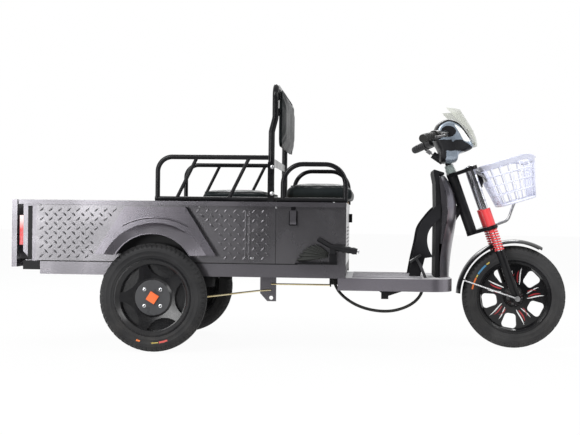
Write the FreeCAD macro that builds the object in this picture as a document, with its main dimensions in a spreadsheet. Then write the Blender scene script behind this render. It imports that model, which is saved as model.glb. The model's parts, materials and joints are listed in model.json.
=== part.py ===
import FreeCAD, Part
import math
import os

import Sketcher
from FreeCAD import Vector

# Electric cargo tricycle with a sheet-steel cargo box, a driver's bench and a raked front fork.
# Lengths are in millimetres. X runs forward, Y to the left and Z up.
# Shapes are laid out from the ground point under the rear axle, then placed so that the
# origin is on the ground midway between the tailgate and the front tyre.

doc = FreeCAD.newDocument("CargoTricycle")
sheet = doc.addObject("Spreadsheet::Sheet", "Sizes")


class Quantity:
    """A size that knows both its number and the formula that gives it."""

    def __init__(self, number, formula):
        self.number = float(number)
        self.formula = formula

    def __float__(self):
        return self.number

    def __neg__(self):
        return Quantity(-self.number, "-(" + self.formula + ")")

    def __add__(self, other):
        other = quantity(other)
        return Quantity(self.number + other.number, "(" + self.formula + " + " + other.formula + ")")

    def __sub__(self, other):
        other = quantity(other)
        return Quantity(self.number - other.number, "(" + self.formula + " - " + other.formula + ")")

    def __mul__(self, other):
        other = quantity(other)
        return Quantity(self.number * other.number, "(" + self.formula + " * " + other.formula + ")")

    def __truediv__(self, other):
        other = quantity(other)
        return Quantity(self.number / other.number, "(" + self.formula + " / " + other.formula + ")")

    def __radd__(self, other):
        return quantity(other) + self

    def __rsub__(self, other):
        return quantity(other) - self

    def __rmul__(self, other):
        return quantity(other) * self


def quantity(value):
    """Return the value as a Quantity."""
    if isinstance(value, Quantity):
        return value
    return Quantity(value, repr(float(value)))


def size(alias, number, note):
    """Enter one driving dimension in the sheet and return it."""
    row = str(len(sheet.getUsedCells()) // 3 + 1)
    sheet.set("A" + row, note)
    sheet.set("B" + row, str(number))
    sheet.set("C" + row, alias)
    sheet.setAlias("B" + row, alias)
    return Quantity(number, "Sizes." + alias)


# Overall layout
wheelbase = size("wheelbase", 1440, "rear axle to front axle")
tail_overhang = size("tail_overhang", 584, "rear axle back to the tailgate")
track = size("track", 730, "distance between the rear wheel centre planes")
tyre_radius = size("tyre_radius", 212.5, "outer radius of all three tyres")
tyre_width = size("tyre_width", 60, "width of a tyre")
rim_radius = size("rim_radius", 152, "radius of the rim flange")
fit_gap = size("fit_gap", 0.05, "radial clearance of a running fit")
seat_gap = size("seat_gap", 0.3, "clearance between neighbouring pieces")

# Cargo box
box_half_width = size("box_half_width", 320, "centre plane to the outside of the side wall")
box_front = size("box_front", 749, "rear axle forward to the front panel")
box_rear = size("box_rear", 540, "rear axle back to the corner posts")
box_bottom = size("box_bottom", 347, "ground to the bed floor underside")
rim_bottom = size("rim_bottom", 573, "ground to the rim rail underside")
rim_top = size("rim_top", 591, "ground to the rim rail top")
rim_width = size("rim_width", 42, "width of the rim rail")
rim_overhang = size("rim_overhang", 16, "rim rail beyond the side wall")
wall = size("wall", 3, "thickness of the box panels")
bulkhead_x = size("bulkhead_x", 470, "rear axle forward to the battery compartment")
post_depth = size("post_depth", 52, "fore and aft depth of a corner post")
post_width = size("post_width", 30, "width of a corner post")
post_round = size("post_round", 38, "radius of the lower rear corner of a post")
sill_height = size("sill_height", 52, "height of a sill rail")
sill_width = size("sill_width", 30, "width of a sill rail")
sill_rear = size("sill_rear", 470, "rear axle back to the end of a sill rail")
tube_wall = size("tube_wall", 3, "wall of the square frame tubes")
cross_depth = size("cross_depth", 40, "fore and aft depth of a cross member")
cross_place = size("cross_place", 240, "rear axle to a cross member beside it")
cross_height = size("cross_height", 35, "height of a cross member")
ridge_radius = size("ridge_radius", 5, "radius of the pressed ridges in a side panel")
ridge_x = size("ridge_x", 354, "rear axle forward to the first ridge")
ridge_pitch = size("ridge_pitch", 15, "distance between the two ridges")
ridge_margin = size("ridge_margin", 20, "ridge end to the panel edge")

# Tailgate
gate_thickness = size("gate_thickness", 21, "thickness of the tailgate")
gate_bottom = size("gate_bottom", 322, "ground to the lower edge of the tailgate")
gate_rim = size("gate_rim", 24, "width of the raised frame of the tailgate")
gate_recess = size("gate_recess", 16, "depth of the tailgate panel below its frame")
hinge_z = size("hinge_z", 332, "ground to the tailgate hinge pin")
hinge_gap = size("hinge_gap", 7, "tailgate face forward to its hinge pin")
hinge_radius = size("hinge_radius", 6, "outer radius of a hinge knuckle")
hinge_pin_radius = size("hinge_pin_radius", 3, "radius of a hinge pin")
knuckle_length = size("knuckle_length", 40, "length of a hinge knuckle")
lug_length = size("lug_length", 30, "length of a hinge lug beside a knuckle")
hinge_y = size("hinge_y", 230, "centre plane to a tailgate hinge")
lamp_height = size("lamp_height", 118, "height of a tail lamp")
lamp_depth = size("lamp_depth", 15, "depth of a tail lamp")
lamp_width = size("lamp_width", 22, "width of a tail lamp")
lamp_z = size("lamp_z", 410, "ground to the lower end of a tail lamp")

# Wheel arches
arch_depth = size("arch_depth", 32, "arch panel beyond the side wall")
arch_top = size("arch_top", 566, "ground to the top of the arch panel")
arch_foot = size("arch_foot", 378, "ground to the foot of the arch panel")
arch_top_half = size("arch_top_half", 121, "half length of the arch panel at its top")
arch_foot_half = size("arch_foot_half", 242, "half length of the arch panel at its foot")
arch_strip = size("arch_strip", 20, "height of the strip along the top of the arch panel")
arch_radius = size("arch_radius", 222, "radius of the wheel opening in the arch panel")
arch_centre = size("arch_centre", 278, "ground to the centre of the wheel opening")
lip_radius = size("lip_radius", 168, "inner radius of the flared lip")
lip_centre = size("lip_centre", 293, "ground to the centre of the flared lip")
lip_reach = size("lip_reach", 50, "flared lip beyond the arch panel")
lip_thickness = size("lip_thickness", 4, "thickness of the flared lip")
bead_radius = size("bead_radius", 273, "radius of the pressed bead over the lip")
bead_centre = size("bead_centre", 252, "ground to the centre of the pressed bead")
bead_half = size("bead_half", 130, "half length of the pressed bead")
bead_width = size("bead_width", 4, "section radius of the pressed bead")

# Hand rails and backrest
rail_radius = size("rail_radius", 9.5, "radius of the hand rail tube")
rail_y = size("rail_y", 308, "centre plane to the hand rail")
rail_top = size("rail_top", 766, "ground to the top bar of the hand rail")
rail_corner = size("rail_corner", 58, "bend radius of the hand rail")
brace_radius = size("brace_radius", 7, "radius of a slanted bar")
brace_x = size("brace_x", 76, "rear axle forward to the foot of the first slanted bar")
brace_lean = size("brace_lean", 81, "forward lean of a slanted bar")
brace_pitch = size("brace_pitch", 208, "distance between the slanted bars")
guard_rear = size("guard_rear", 499, "rear axle forward to the rear leg of the seat guard")
guard_front = size("guard_front", 744, "rear axle forward to the front leg of the seat guard")
guard_top = size("guard_top", 741, "ground to the top of the seat guard")
guard_corner = size("guard_corner", 80, "bend radius of the seat guard")
backrest_x = size("backrest_x", 452, "rear axle forward to the backrest posts")
backrest_top = size("backrest_top", 1050, "ground to the backrest top bar")
backrest_bend = size("backrest_bend", 867, "ground to the first bend of a post")
backrest_rise = size("backrest_rise", 55, "height of the offset bend of a post")
backrest_offset = size("backrest_offset", 14, "forward offset of the upper post")
backrest_radius = size("backrest_radius", 12.5, "radius of the backrest tube")
backrest_corner = size("backrest_corner", 45, "bend radius of the backrest top corners")
strap_thickness = size("strap_thickness", 5, "thickness of the flat bolted bar")
strap_top = size("strap_top", 748, "ground to the top of the flat bolted bar")
strap_hole = size("strap_hole", 4.2, "radius of the holes in the flat bar")
pad_half_width = size("pad_half_width", 280, "half width of the backrest pad")
pad_thickness = size("pad_thickness", 42, "thickness of the backrest pad")
pad_bottom = size("pad_bottom", 807, "ground to the lower edge of the backrest pad")
pad_top = size("pad_top", 1045, "ground to the upper edge of the backrest pad")

# Seats
seat_board = size("seat_board", 14, "thickness of a seat board")
seat_rear = size("seat_rear", 505, "rear axle forward to the back of the driver's cushion")
seat_front = size("seat_front", 772, "rear axle forward to the front of the driver's cushion")
seat_half_width = size("seat_half_width", 262, "half width of the driver's cushion")
seat_top = size("seat_top", 670, "ground to the top of the driver's cushion")
seat_lid_rear = size("seat_lid_rear", 478, "rear axle forward to the back of the seat lid")
bench_rear = size("bench_rear", 170, "rear axle forward to the back of the bench cushion")
bench_front = size("bench_front", 436, "rear axle forward to the front of the bench cushion")
bench_half_width = size("bench_half_width", 268, "half width of the bench cushion")
bench_top = size("bench_top", 640, "ground to the top of the bench cushion")

# Foot floor and leg shield
floor_top = size("floor_top", 293, "ground to the foot floor")
floor_skirt = size("floor_skirt", 50, "height of the floor skirt")
floor_half_width = size("floor_half_width", 245, "half width of the foot floor")
floor_rear = size("floor_rear", 716, "rear axle forward to the back of the floor")
floor_front = size("floor_front", 1172, "rear axle forward to the front of the floor")
floor_round = size("floor_round", 90, "corner radius at the front of the floor")
floor_sheet = size("floor_sheet", 4, "thickness of the floor pan")
rib_pitch = size("rib_pitch", 24, "distance between the floor ribs")
rib_radius = size("rib_radius", 3.5, "radius of a floor rib")
shield_sheet = size("shield_sheet", 4, "thickness of the leg shield")
panel_rear = size("panel_rear", 1100, "rear axle forward to the inner panel")
panel_thickness = size("panel_thickness", 18, "thickness of the inner panel")
panel_half_width = size("panel_half_width", 112, "half width of the inner panel")
panel_top = size("panel_top", 722, "ground to the top of the inner panel")
brace_plate = size("brace_plate", 8, "thickness of a leg brace")

# Fork and steering
rake = size("rake", 19.5, "angle of the steering axis from vertical, in degrees")
fork_offset = size("fork_offset", 76, "steering axis forward to the fork legs")
leg_y = size("leg_y", 85, "centre plane to a fork leg")
leg_radius = size("leg_radius", 17.5, "radius of a lower leg")
stanchion_radius = size("stanchion_radius", 12.5, "radius of a stanchion")
leg_top = size("leg_top", 205, "front axle up the fork to the top of a lower leg")
leg_bore_depth = size("leg_bore_depth", 160, "depth of the bore in a lower leg")
stanchion_foot = size("stanchion_foot", 125, "front axle up the fork to the foot of a stanchion")
lower_crown = size("lower_crown", 298, "front axle up the fork to the lower crown")
upper_crown = size("upper_crown", 553, "front axle up the fork to the upper crown")
crown_thickness = size("crown_thickness", 15, "thickness of a crown")
crown_boss = size("crown_boss", 24, "radius of a crown round the stem and the legs")
cover_length = size("cover_length", 72, "length of a red cover on a stanchion")
cover_radius = size("cover_radius", 18.5, "radius of a red cover")
spring_wire = size("spring_wire", 4.4, "wire diameter of a fork spring")
spring_radius = size("spring_radius", 15.6, "radius of a fork spring at the middle of its wire")
spring_turns = size("spring_turns", 8, "turns of a fork spring")
stem_radius = size("stem_radius", 12.7, "radius of the steering stem")
stem_top = size("stem_top", 722, "front axle up the fork to the top of the stem")
head_radius = size("head_radius", 22, "outer radius of the head tube")
bearing_height = size("bearing_height", 9, "height of a steering bearing")
axle_radius = size("axle_radius", 6, "radius of the front axle")
bellows_radius = size("bellows_radius", 24, "outer radius of the steering bellows")
bellows_length = size("bellows_length", 36, "length of the steering bellows")
bellows_ribs = size("bellows_ribs", 6, "ribs of the steering bellows")
bar_radius = size("bar_radius", 11, "radius of the handlebar tube")
bar_half_width = size("bar_half_width", 330, "centre plane to the end of the handlebar")
bar_x = size("bar_x", 1150, "rear axle forward to the middle of the handlebar")
bar_z = size("bar_z", 884, "ground to the middle of the handlebar")
bar_sweep = size("bar_sweep", 108, "rearward sweep of the handlebar ends")
bar_drop = size("bar_drop", 41, "drop of the handlebar ends")
bar_straight = size("bar_straight", 105, "centre plane to the bend of the handlebar")
grip_length = size("grip_length", 115, "length of a grip")
grip_radius = size("grip_radius", 16, "radius of a grip")
cowl_half_width = size("cowl_half_width", 88, "half width of the cowl")
cowl_wall = size("cowl_wall", 4, "wall of the cowl")
screen_sheet = size("screen_sheet", 3, "thickness of the windscreen")

# Front fender
fender_radius = size("fender_radius", 238, "outer radius of the front fender")
fender_sheet = size("fender_sheet", 3, "thickness of the front fender")
fender_half_width = size("fender_half_width", 44, "half width of the front fender")
fender_edge = size("fender_edge", 14, "drop of the fender at its edges")
fender_back = size("fender_back", 87, "fender behind vertical, in degrees")
fender_ahead = size("fender_ahead", 29, "fender ahead of vertical, in degrees")
stay_radius = size("stay_radius", 3.5, "radius of a fender stay")

# Basket
basket_tilt = size("basket_tilt", 17, "forward tilt of the basket, in degrees")
basket_x = size("basket_x", 1442, "rear axle forward to the middle of the basket floor")
basket_z = size("basket_z", 608, "ground to the middle of the basket floor")
basket_depth = size("basket_depth", 205, "fore and aft depth at the basket rim")
basket_half_width = size("basket_half_width", 175, "half width at the basket rim")
basket_height = size("basket_height", 178, "height of the basket")
basket_taper = size("basket_taper", 34, "how far each wall leans in at the floor")
basket_corner = size("basket_corner", 50, "corner radius of the basket")
basket_wall = size("basket_wall", 3, "wall of the basket")
basket_lip = size("basket_lip", 8, "rim flange beyond the basket wall")
basket_bar = size("basket_bar", 9, "bars between the basket openings")

# Wheels and rear axle
hub_radius = size("hub_radius", 69, "radius of a rear hub disc")
front_hub_radius = size("front_hub_radius", 34, "radius of the front hub")
rim_half_width = size("rim_half_width", 26, "half width of a rim")
wheel_disc = size("wheel_disc", 7, "thickness of a wheel disc")
pocket_count = size("pocket_count", 5, "openings in a wheel")
axle_tube_radius = size("axle_tube_radius", 28, "radius of the rear axle tube")
differential_radius = size("differential_radius", 78, "radius of the differential case")
motor_radius = size("motor_radius", 70, "radius of the drive motor")
motor_length = size("motor_length", 190, "length of the drive motor")
drum_radius = size("drum_radius", 58, "radius of a rear brake plate")
shaft_radius = size("shaft_radius", 12, "radius of a rear half shaft")
spring_y = size("spring_y", 258, "centre plane to a leaf spring")
leaf_width = size("leaf_width", 40, "width of a leaf spring")
leaf_thickness = size("leaf_thickness", 6, "thickness of one leaf")
leaf_camber = size("leaf_camber", 6, "rise of the main leaf towards its eyes")
leaf_count = size("leaf_count", 3, "leaves in a spring")
leaf_half_length = size("leaf_half_length", 206, "half length of the main leaf")

# Controls on the box
lever_pivot_x = size("lever_pivot_x", 700, "rear axle forward to the parking brake pivot")
lever_pivot_z = size("lever_pivot_z", 381, "ground to the parking brake pivot")
lever_y = size("lever_y", 345, "centre plane to the parking brake lever")
boot_width = size("boot_width", 36, "width of the pleated boot")
boot_pleats = size("boot_pleats", 6, "pleats of the boot")
button_travel = size("button_travel", 5, "travel of the release button")
pedal_y = size("pedal_y", 156, "centre plane to the brake pedal")
pedal_x = size("pedal_x", 1075, "rear axle forward to the pedal pivot")
pedal_z = size("pedal_z", 262, "ground to the pedal pivot")
pedal_pin = size("pedal_pin", 6, "radius of the pedal pivot pin")
pedal_arm = size("pedal_arm", 10, "width of the pedal arm")
pedal_slot_length = size("pedal_slot_length", 40, "pedal pivot back to the end of the slot in the floor")
pedal_slot_half = size("pedal_slot_half", 6, "half width of the slot in the floor")
bracket_y = size("bracket_y", 200, "centre plane to the hanging bracket")
bracket_bore = size("bracket_bore", 8, "radius of the bore in the hanging bracket")
hose_radius = size("hose_radius", 6, "radius of the wiring hose")

doc.recompute()

REAR_X = (tail_overhang - wheelbase - tyre_radius) / 2
NODES = []


def number(value):
    """Return a size as a plain number."""
    return float(value)


def point(x, y, z):
    return Vector(number(x), number(y), number(z))


def bind(obj, prop, value):
    """Tie a property of an object to a size."""
    obj.setExpression(prop, quantity(value).formula)


def node(obj, label):
    """Finish an object as a named sub-part of the tricycle."""
    obj.Label = label
    bind(obj, "Placement.Base.x", REAR_X)
    NODES.append(obj)
    return obj


def mirrored(source, label):
    """Make the left-hand twin of a right-hand sub-part."""
    twin = doc.addObject("Part::Mirroring", label)
    twin.Source = source
    twin.Normal = (0, 1, 0)
    twin.Label = label
    NODES.append(twin)
    return twin


def box(name, low, high):
    """A block between two corners."""
    block = doc.addObject("Part::Box", name)
    for prop, start, end in zip(("Length", "Width", "Height"), low, high):
        bind(block, prop, quantity(end) - start)
    for axis, start in zip("xyz", low):
        bind(block, "Placement.Base." + axis, start)
    return block


ALONG = {
    "x": FreeCAD.Rotation(Vector(0, 1, 0), 90),
    "y": FreeCAD.Rotation(Vector(1, 0, 0), -90),
    "z": FreeCAD.Rotation(),
}


def cylinder(name, radius, start, length, along="y"):
    """A round bar from its starting point along an axis."""
    bar = doc.addObject("Part::Cylinder", name)
    bar.Placement = FreeCAD.Placement(Vector(), ALONG[along])
    bind(bar, "Radius", radius)
    bind(bar, "Height", length)
    for axis, value in zip("xyz", start):
        bind(bar, "Placement.Base." + axis, value)
    return bar


def cut(name, base, tool):
    result = doc.addObject("Part::Cut", name)
    result.Base = base
    result.Tool = tool
    return result


def fuse(name, shapes):
    result = doc.addObject("Part::MultiFuse", name)
    result.Shapes = shapes
    return result


def group(name, shapes):
    result = doc.addObject("Part::Compound", name)
    result.Links = shapes
    return result


def square_tube(name, low, high, along):
    """A hollow square tube, open at both ends."""
    inner_low = [start if axis == along else quantity(start) + tube_wall for axis, start in zip("xyz", low)]
    inner_high = [end if axis == along else quantity(end) - tube_wall for axis, end in zip("xyz", high)]
    return cut(name, box(name + "Outside", low, high), box(name + "Inside", inner_low, inner_high))


def knuckle(name, x, z, start, length, leaf_x, bore=None):
    """A hinge eye round a pin, with a leaf back to the piece that carries it."""
    low_x, high_x = sorted((quantity(x), quantity(leaf_x)), key=float)
    leaf = box(name + "Leaf", (low_x, start, z - hinge_radius / 2),
               (high_x, start + length, z + hinge_radius / 2))
    eye = cylinder(name + "Eye", hinge_radius, (x, start, z), length)
    whole = fuse(name + "Whole", [leaf, eye])
    if bore is None:
        return whole
    return cut(name, whole, cylinder(name + "Bore", bore, (x, start, z), length))


def hinge_pin(name, x, z, centre):
    """The pin that runs in a bored knuckle and is held by the lugs beside it."""
    return cylinder(name, hinge_pin_radius - fit_gap, (x, centre - knuckle_length / 2 - seat_gap, z),
                    knuckle_length + seat_gap * 2)


def feature(name, shape):
    """A shape made in code from the sizes in the sheet."""
    obj = doc.addObject("Part::Feature", name)
    obj.Shape = Part.Compound(shape.Solids)
    return obj


def rounded_path(points, radius):
    """A wire of straight runs joined by tangent arcs."""
    edges = []
    start = points[0]
    for before, corner, after in zip(points, points[1:], points[2:]):
        back = (before - corner).normalize()
        ahead = (after - corner).normalize()
        half = (math.pi - back.getAngle(ahead)) / 2
        reach = radius * math.tan(half)
        enter = corner + back * reach
        leave = corner + ahead * reach
        middle = corner + (back + ahead).normalize() * (radius / math.cos(half) - radius)
        edges.append(Part.LineSegment(start, enter).toShape())
        edges.append(Part.Arc(enter, middle, leave).toShape())
        start = leave
    edges.append(Part.LineSegment(start, points[-1]).toShape())
    return Part.Wire(edges)


def tube(points, radius, bend=1.0):
    """A round bar along a bent path."""
    path = rounded_path([point(*place) for place in points], number(bend))
    first = path.OrderedEdges[0]
    direction = first.tangentAt(first.FirstParameter)
    section = Part.Wire(Part.Circle(point(*points[0]), direction, number(radius)).toShape())
    return path.makePipeShell([section], True, False)


def slab(outline, low, high, plane="xz"):
    """A plate cut from an outline, between two planes."""
    low = number(low)
    high = number(high)
    if plane == "xz":
        corners = [Vector(number(a), low, number(b)) for a, b in outline]
        rise = Vector(0, high - low, 0)
    else:
        corners = [Vector(number(a), number(b), low) for a, b in outline]
        rise = Vector(0, 0, high - low)
    return Part.Face(Part.makePolygon(corners + corners[:1])).extrude(rise)


def bar(start, end, radius):
    """A straight round bar between two points."""
    start = point(*start)
    end = point(*end)
    return Part.makeCylinder(number(radius), (end - start).Length, start, end - start)


def sketch(body, role, outline, name="Outline"):
    """A closed outline of straight lines whose corners follow the sizes."""
    drawing = body.newObject("Sketcher::SketchObject", name)
    plane = [item for item in body.Origin.OriginFeatures if item.Role == role][0]
    drawing.AttachmentSupport = [(plane, "")]
    drawing.MapMode = "FlatFace"
    corners = [Vector(number(a), number(b), 0) for a, b in outline]
    count = len(corners)
    for index in range(count):
        drawing.addGeometry(Part.LineSegment(corners[index], corners[(index + 1) % count]))
    for index in range(count):
        drawing.addConstraint(Sketcher.Constraint("Coincident", index, 2, (index + 1) % count, 1))
    for index, corner in enumerate(outline):
        for kind, value in zip(("DistanceX", "DistanceY"), corner):
            place = drawing.addConstraint(Sketcher.Constraint(kind, -1, 1, index, 1, number(value)))
            bind(drawing, "Constraints[%d]" % place, value)
    return drawing


def pad(body, drawing, length, reverse=False, both=False):
    step = body.newObject("PartDesign::Pad", "Pad")
    step.Profile = drawing
    step.Reversed = reverse
    step.Midplane = both
    bind(step, "Length", length)
    return step


def pocket(body, drawing, length, reverse=False, both=False):
    step = body.newObject("PartDesign::Pocket", "Pocket")
    step.Profile = drawing
    step.Reversed = reverse
    step.Midplane = both
    bind(step, "Length", length)
    return step


def revolution(body, drawing):
    step = body.newObject("PartDesign::Revolution", "Revolution")
    step.Profile = drawing
    step.ReferenceAxis = (drawing, ["H_Axis"])
    step.Angle = 360
    return step


def vertical_edges(shape, x):
    """Names of the upright edges of a shape at a given X."""
    names = []
    for index, edge in enumerate(shape.Edges):
        ends = edge.Vertexes
        if len(ends) < 2:
            continue
        first = ends[0].Point
        last = ends[1].Point
        upright = abs(first.x - last.x) < 0.01 and abs(first.y - last.y) < 0.01
        if upright and abs(first.x - number(x)) < 0.01:
            names.append("Edge%d" % (index + 1))
    return names


# Sill rails and cross members
sill_bottom = box_bottom - sill_height
sill_inner = box_half_width - sill_width
frame_tubes = []
for side, low_y, high_y in (("Right", -box_half_width, -sill_inner), ("Left", sill_inner, box_half_width)):
    low = (-sill_rear, low_y, sill_bottom)
    high = (box_front, high_y, box_bottom)
    frame_tubes.append(square_tube("Sill" + side, low, high, "x"))
cross_bottom = box_bottom - cross_height
CROSS_MEMBERS = (-sill_rear, -cross_place - cross_depth, cross_place, bulkhead_x - cross_depth,
                 box_front - cross_depth)
for index, place in enumerate(CROSS_MEMBERS):
    low = (place, -sill_inner, cross_bottom)
    high = (place + cross_depth, sill_inner, box_bottom)
    frame_tubes.append(square_tube("CrossMember%d" % index, low, high, "y"))
rear_beam_front = -sill_rear
rear_beam = square_tube("RearBeam", (-box_rear, -box_half_width, cross_bottom),
                        (rear_beam_front, box_half_width, box_bottom), "y")
frame_tubes.append(rear_beam)
hinge_x = -tail_overhang + gate_thickness + hinge_gap
for side, centre in (("Right", -hinge_y), ("Left", hinge_y)):
    frame_tubes.append(knuckle("GateHinge" + side, hinge_x, hinge_z, centre - knuckle_length / 2,
                               knuckle_length, -box_rear, hinge_pin_radius))
node(group("chassis_frame", frame_tubes), "chassis_frame")

# Side panels with two pressed ridges
panel_rear_x = -box_rear + post_depth
panel_low = (panel_rear_x, -box_half_width, box_bottom)
panel_high = (box_front, -(box_half_width - wall), rim_bottom)
ridges = []
for index in range(2):
    start = (ridge_x + ridge_pitch * index, -box_half_width + wall / 2, box_bottom + ridge_margin)
    ridges.append(cylinder("Ridge%d" % index, ridge_radius, start,
                           rim_bottom - box_bottom - ridge_margin * 2, "z"))
ridge_trim = box("RidgeTrim", (panel_rear_x, -(box_half_width - wall), box_bottom),
                 (box_front, -(box_half_width - wall) + ridge_radius * 2, rim_bottom))
panel_plate = fuse("SidePanelPressed", [box("SidePanelSheet", panel_low, panel_high)] + ridges)
side_panel_right = node(cut("side_panel_right", panel_plate, ridge_trim), "side_panel_right")
side_panel_left = mirrored(side_panel_right, "side_panel_left")

# Bed floor
bed_low = (-box_rear, -(box_half_width - wall), box_bottom)
bed_high = (bulkhead_x - wall, box_half_width - wall, box_bottom + wall)
notches = []
for side, sign in (("Right", -1), ("Left", 1)):
    edges = sorted((box_half_width * sign, (box_half_width - post_width) * sign), key=number)
    notches.append(box("PostNotch" + side, (-box_rear, edges[0], box_bottom), (panel_rear_x, edges[1],
                                                                               box_bottom + wall)))
bed_sheet = cut("BedSheet", box("BedBlank", bed_low, bed_high), fuse("PostNotches", notches))
node(group("bed_floor", [bed_sheet]), "bed_floor")

# Rim rails and corner posts
rim_outer = box_half_width + rim_overhang
rim_pieces = []
for side, sign in (("Right", -1), ("Left", 1)):
    edges = sorted((rim_outer * sign, (rim_outer - rim_width) * sign), key=number)
    rim_pieces.append(square_tube("RimRail" + side, (-box_rear - lamp_depth, edges[0], rim_bottom),
                                  (box_front, edges[1], rim_top), "x"))
    post_edges = sorted((box_half_width * sign, (box_half_width - post_width) * sign), key=number)
    post = doc.addObject("PartDesign::Body", "CornerPost" + side)
    post_outline = [(-box_rear, rim_bottom), (-box_rear, box_bottom + post_round),
                    (-box_rear + post_round, box_bottom), (panel_rear_x, box_bottom),
                    (panel_rear_x, rim_bottom)]
    pad(post, sketch(post, "XZ_Plane", post_outline), post_width, reverse=True)
    bind(post, "Placement.Base.y", post_edges[0])
    rim_pieces.append(post)
rim_inner = rim_outer - rim_width
cross_rim_depth = size("cross_rim_depth", 25, "depth of the rim tubes across the box")
lid_hinge_y = size("lid_hinge_y", 150, "centre plane to a seat hinge")
doc.recompute()
lid_hinge_x = box_front - hinge_radius - seat_gap
bench_hinge_x = bulkhead_x - cross_rim_depth / 2
seat_hinge_z = rim_top + hinge_radius + seat_gap
for name, place, pin_x in (("Front", box_front, lid_hinge_x), ("Middle", bulkhead_x, bench_hinge_x)):
    rim_pieces.append(square_tube(name + "RimTube", (place - cross_rim_depth, -rim_inner, rim_bottom),
                                  (place, rim_inner, rim_top), "y"))
    for side, centre in (("Right", -lid_hinge_y), ("Left", lid_hinge_y)):
        foot = box(name + side + "HingeFoot",
                   (pin_x - hinge_radius / 2, centre - knuckle_length / 2, rim_top),
                   (pin_x + hinge_radius / 2, centre + knuckle_length / 2, seat_hinge_z))
        eye = cylinder(name + side + "HingeEye", hinge_radius,
                       (pin_x, centre - knuckle_length / 2, seat_hinge_z), knuckle_length)
        bore = cylinder(name + side + "HingeBore", hinge_pin_radius,
                        (pin_x, centre - knuckle_length / 2, seat_hinge_z), knuckle_length)
        rim_pieces.append(cut(name + side + "Hinge", fuse(name + side + "HingeBlock", [foot, eye]), bore))
bench_tube = size("bench_tube", 22, "side of the bench cross tubes")
doc.recompute()
bench_tube_top = rim_top
for index, place in enumerate((bench_rear + bench_tube, bench_front - bench_tube * 2)):
    rim_pieces.append(square_tube("BenchTube%d" % index,
                                   (place, -rim_inner, bench_tube_top - bench_tube),
                                   (place + bench_tube, rim_inner, bench_tube_top), "y"))
node(group("bed_rim", rim_pieces), "bed_rim")

# Tail lamps on the corner posts
lamps = []
for side, sign in (("Right", -1), ("Left", 1)):
    edges = sorted((box_half_width * sign, (box_half_width - lamp_width) * sign), key=number)
    lens = box("TailLamp" + side, (-box_rear - lamp_depth, edges[0], lamp_z),
               (-box_rear, edges[1], lamp_z + lamp_height))
    lamps.append(lens)
node(group("tail_lamps", lamps), "tail_lamps")


def annular_sector(radius, thickness, centre, foot, y):
    """A closed strip between two arcs over a wheel, cut off level at its foot."""
    radius = number(radius)
    thickness = number(thickness)
    drop = number(foot) - number(centre)
    inner_half = math.sqrt(radius ** 2 - drop ** 2)
    outer = radius + thickness
    outer_half = math.sqrt(outer ** 2 - drop ** 2)
    y = number(y)
    rise = number(centre)
    foot = number(foot)
    inner = Part.Arc(Vector(-inner_half, y, foot), Vector(0, y, rise + radius), Vector(inner_half, y, foot))
    outside = Part.Arc(Vector(outer_half, y, foot), Vector(0, y, rise + outer), Vector(-outer_half, y, foot))
    return Part.Wire([
        inner.toShape(),
        Part.LineSegment(Vector(inner_half, y, foot), Vector(outer_half, y, foot)).toShape(),
        outside.toShape(),
        Part.LineSegment(Vector(-outer_half, y, foot), Vector(-inner_half, y, foot)).toShape(),
    ])


def wheel_arch():
    """Arch panel with a wheel opening, a flared lip, a top strip and a pressed bead."""
    face_y = -(box_half_width + arch_depth)
    outline = [(-arch_foot_half, arch_foot), (-arch_top_half, arch_top), (arch_top_half, arch_top),
               (arch_foot_half, arch_foot)]
    panel = slab(outline, face_y, -box_half_width)
    strip_outline = [(-arch_top_half, arch_top - arch_strip), (-arch_top_half, arch_top),
                     (arch_top_half, arch_top), (arch_top_half, arch_top - arch_strip)]
    strip = slab(strip_outline, face_y - wall, face_y)
    opening = Part.makeCylinder(number(arch_radius), number(arch_depth) * 3,
                                point(0, face_y - arch_depth, arch_centre), Vector(0, 1, 0))
    lip = Part.makeLoft([
        annular_sector(arch_radius, lip_thickness, arch_centre, arch_foot, face_y),
        annular_sector(lip_radius, lip_thickness, lip_centre, arch_foot, face_y - lip_reach),
    ], True, True)
    rise = math.sqrt(number(bead_radius) ** 2 - number(bead_half) ** 2)
    left_end = point(-bead_half, face_y, bead_centre + rise)
    right_end = point(bead_half, face_y, bead_centre + rise)
    bead_path = Part.Wire(Part.Arc(left_end, point(0, face_y, bead_centre + bead_radius),
                                   right_end).toShape())
    start = bead_path.Edges[0]
    section = Part.Wire(Part.Circle(left_end, start.tangentAt(start.FirstParameter),
                                    number(bead_width)).toShape())
    bead = bead_path.makePipeShell([section], True, False)
    return panel.cut(opening).fuse([strip, lip, bead]).removeSplitter()


wheel_arch_right = node(feature("wheel_arch_right", wheel_arch()), "wheel_arch_right")
wheel_arch_left = mirrored(wheel_arch_right, "wheel_arch_left")

# Bulkhead behind the driver and vented front panel of the battery compartment
inner_half_width = box_half_width - wall
bulkhead = box("Bulkhead", (bulkhead_x - wall, -inner_half_width, box_bottom),
               (bulkhead_x, inner_half_width, rim_bottom))
front_sheet = box("FrontSheet", (box_front - wall, -inner_half_width, box_bottom),
                  (box_front, inner_half_width, rim_bottom))
VENT_ROWS = 6
VENT_COLUMNS = 4
vent_length = size("vent_length", 70, "length of a vent slot")
vent_height = size("vent_height", 6, "height of a vent slot")
vent_pitch = size("vent_pitch", 15, "distance between the vent rows")
vent_spread = size("vent_spread", 100, "distance between the vent columns")
vent_z = size("vent_z", 415, "ground to the lowest vent slot")
doc.recompute()
slots = []
for row in range(VENT_ROWS):
    for column in range(VENT_COLUMNS):
        centre = vent_spread * (column - (VENT_COLUMNS - 1) / 2)
        low = (box_front - wall * 2, centre - vent_length / 2, vent_z + vent_pitch * row)
        high = (box_front + wall, centre + vent_length / 2, vent_z + vent_pitch * row + vent_height)
        slots.append(box("Vent%d%d" % (row, column), low, high))
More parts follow.
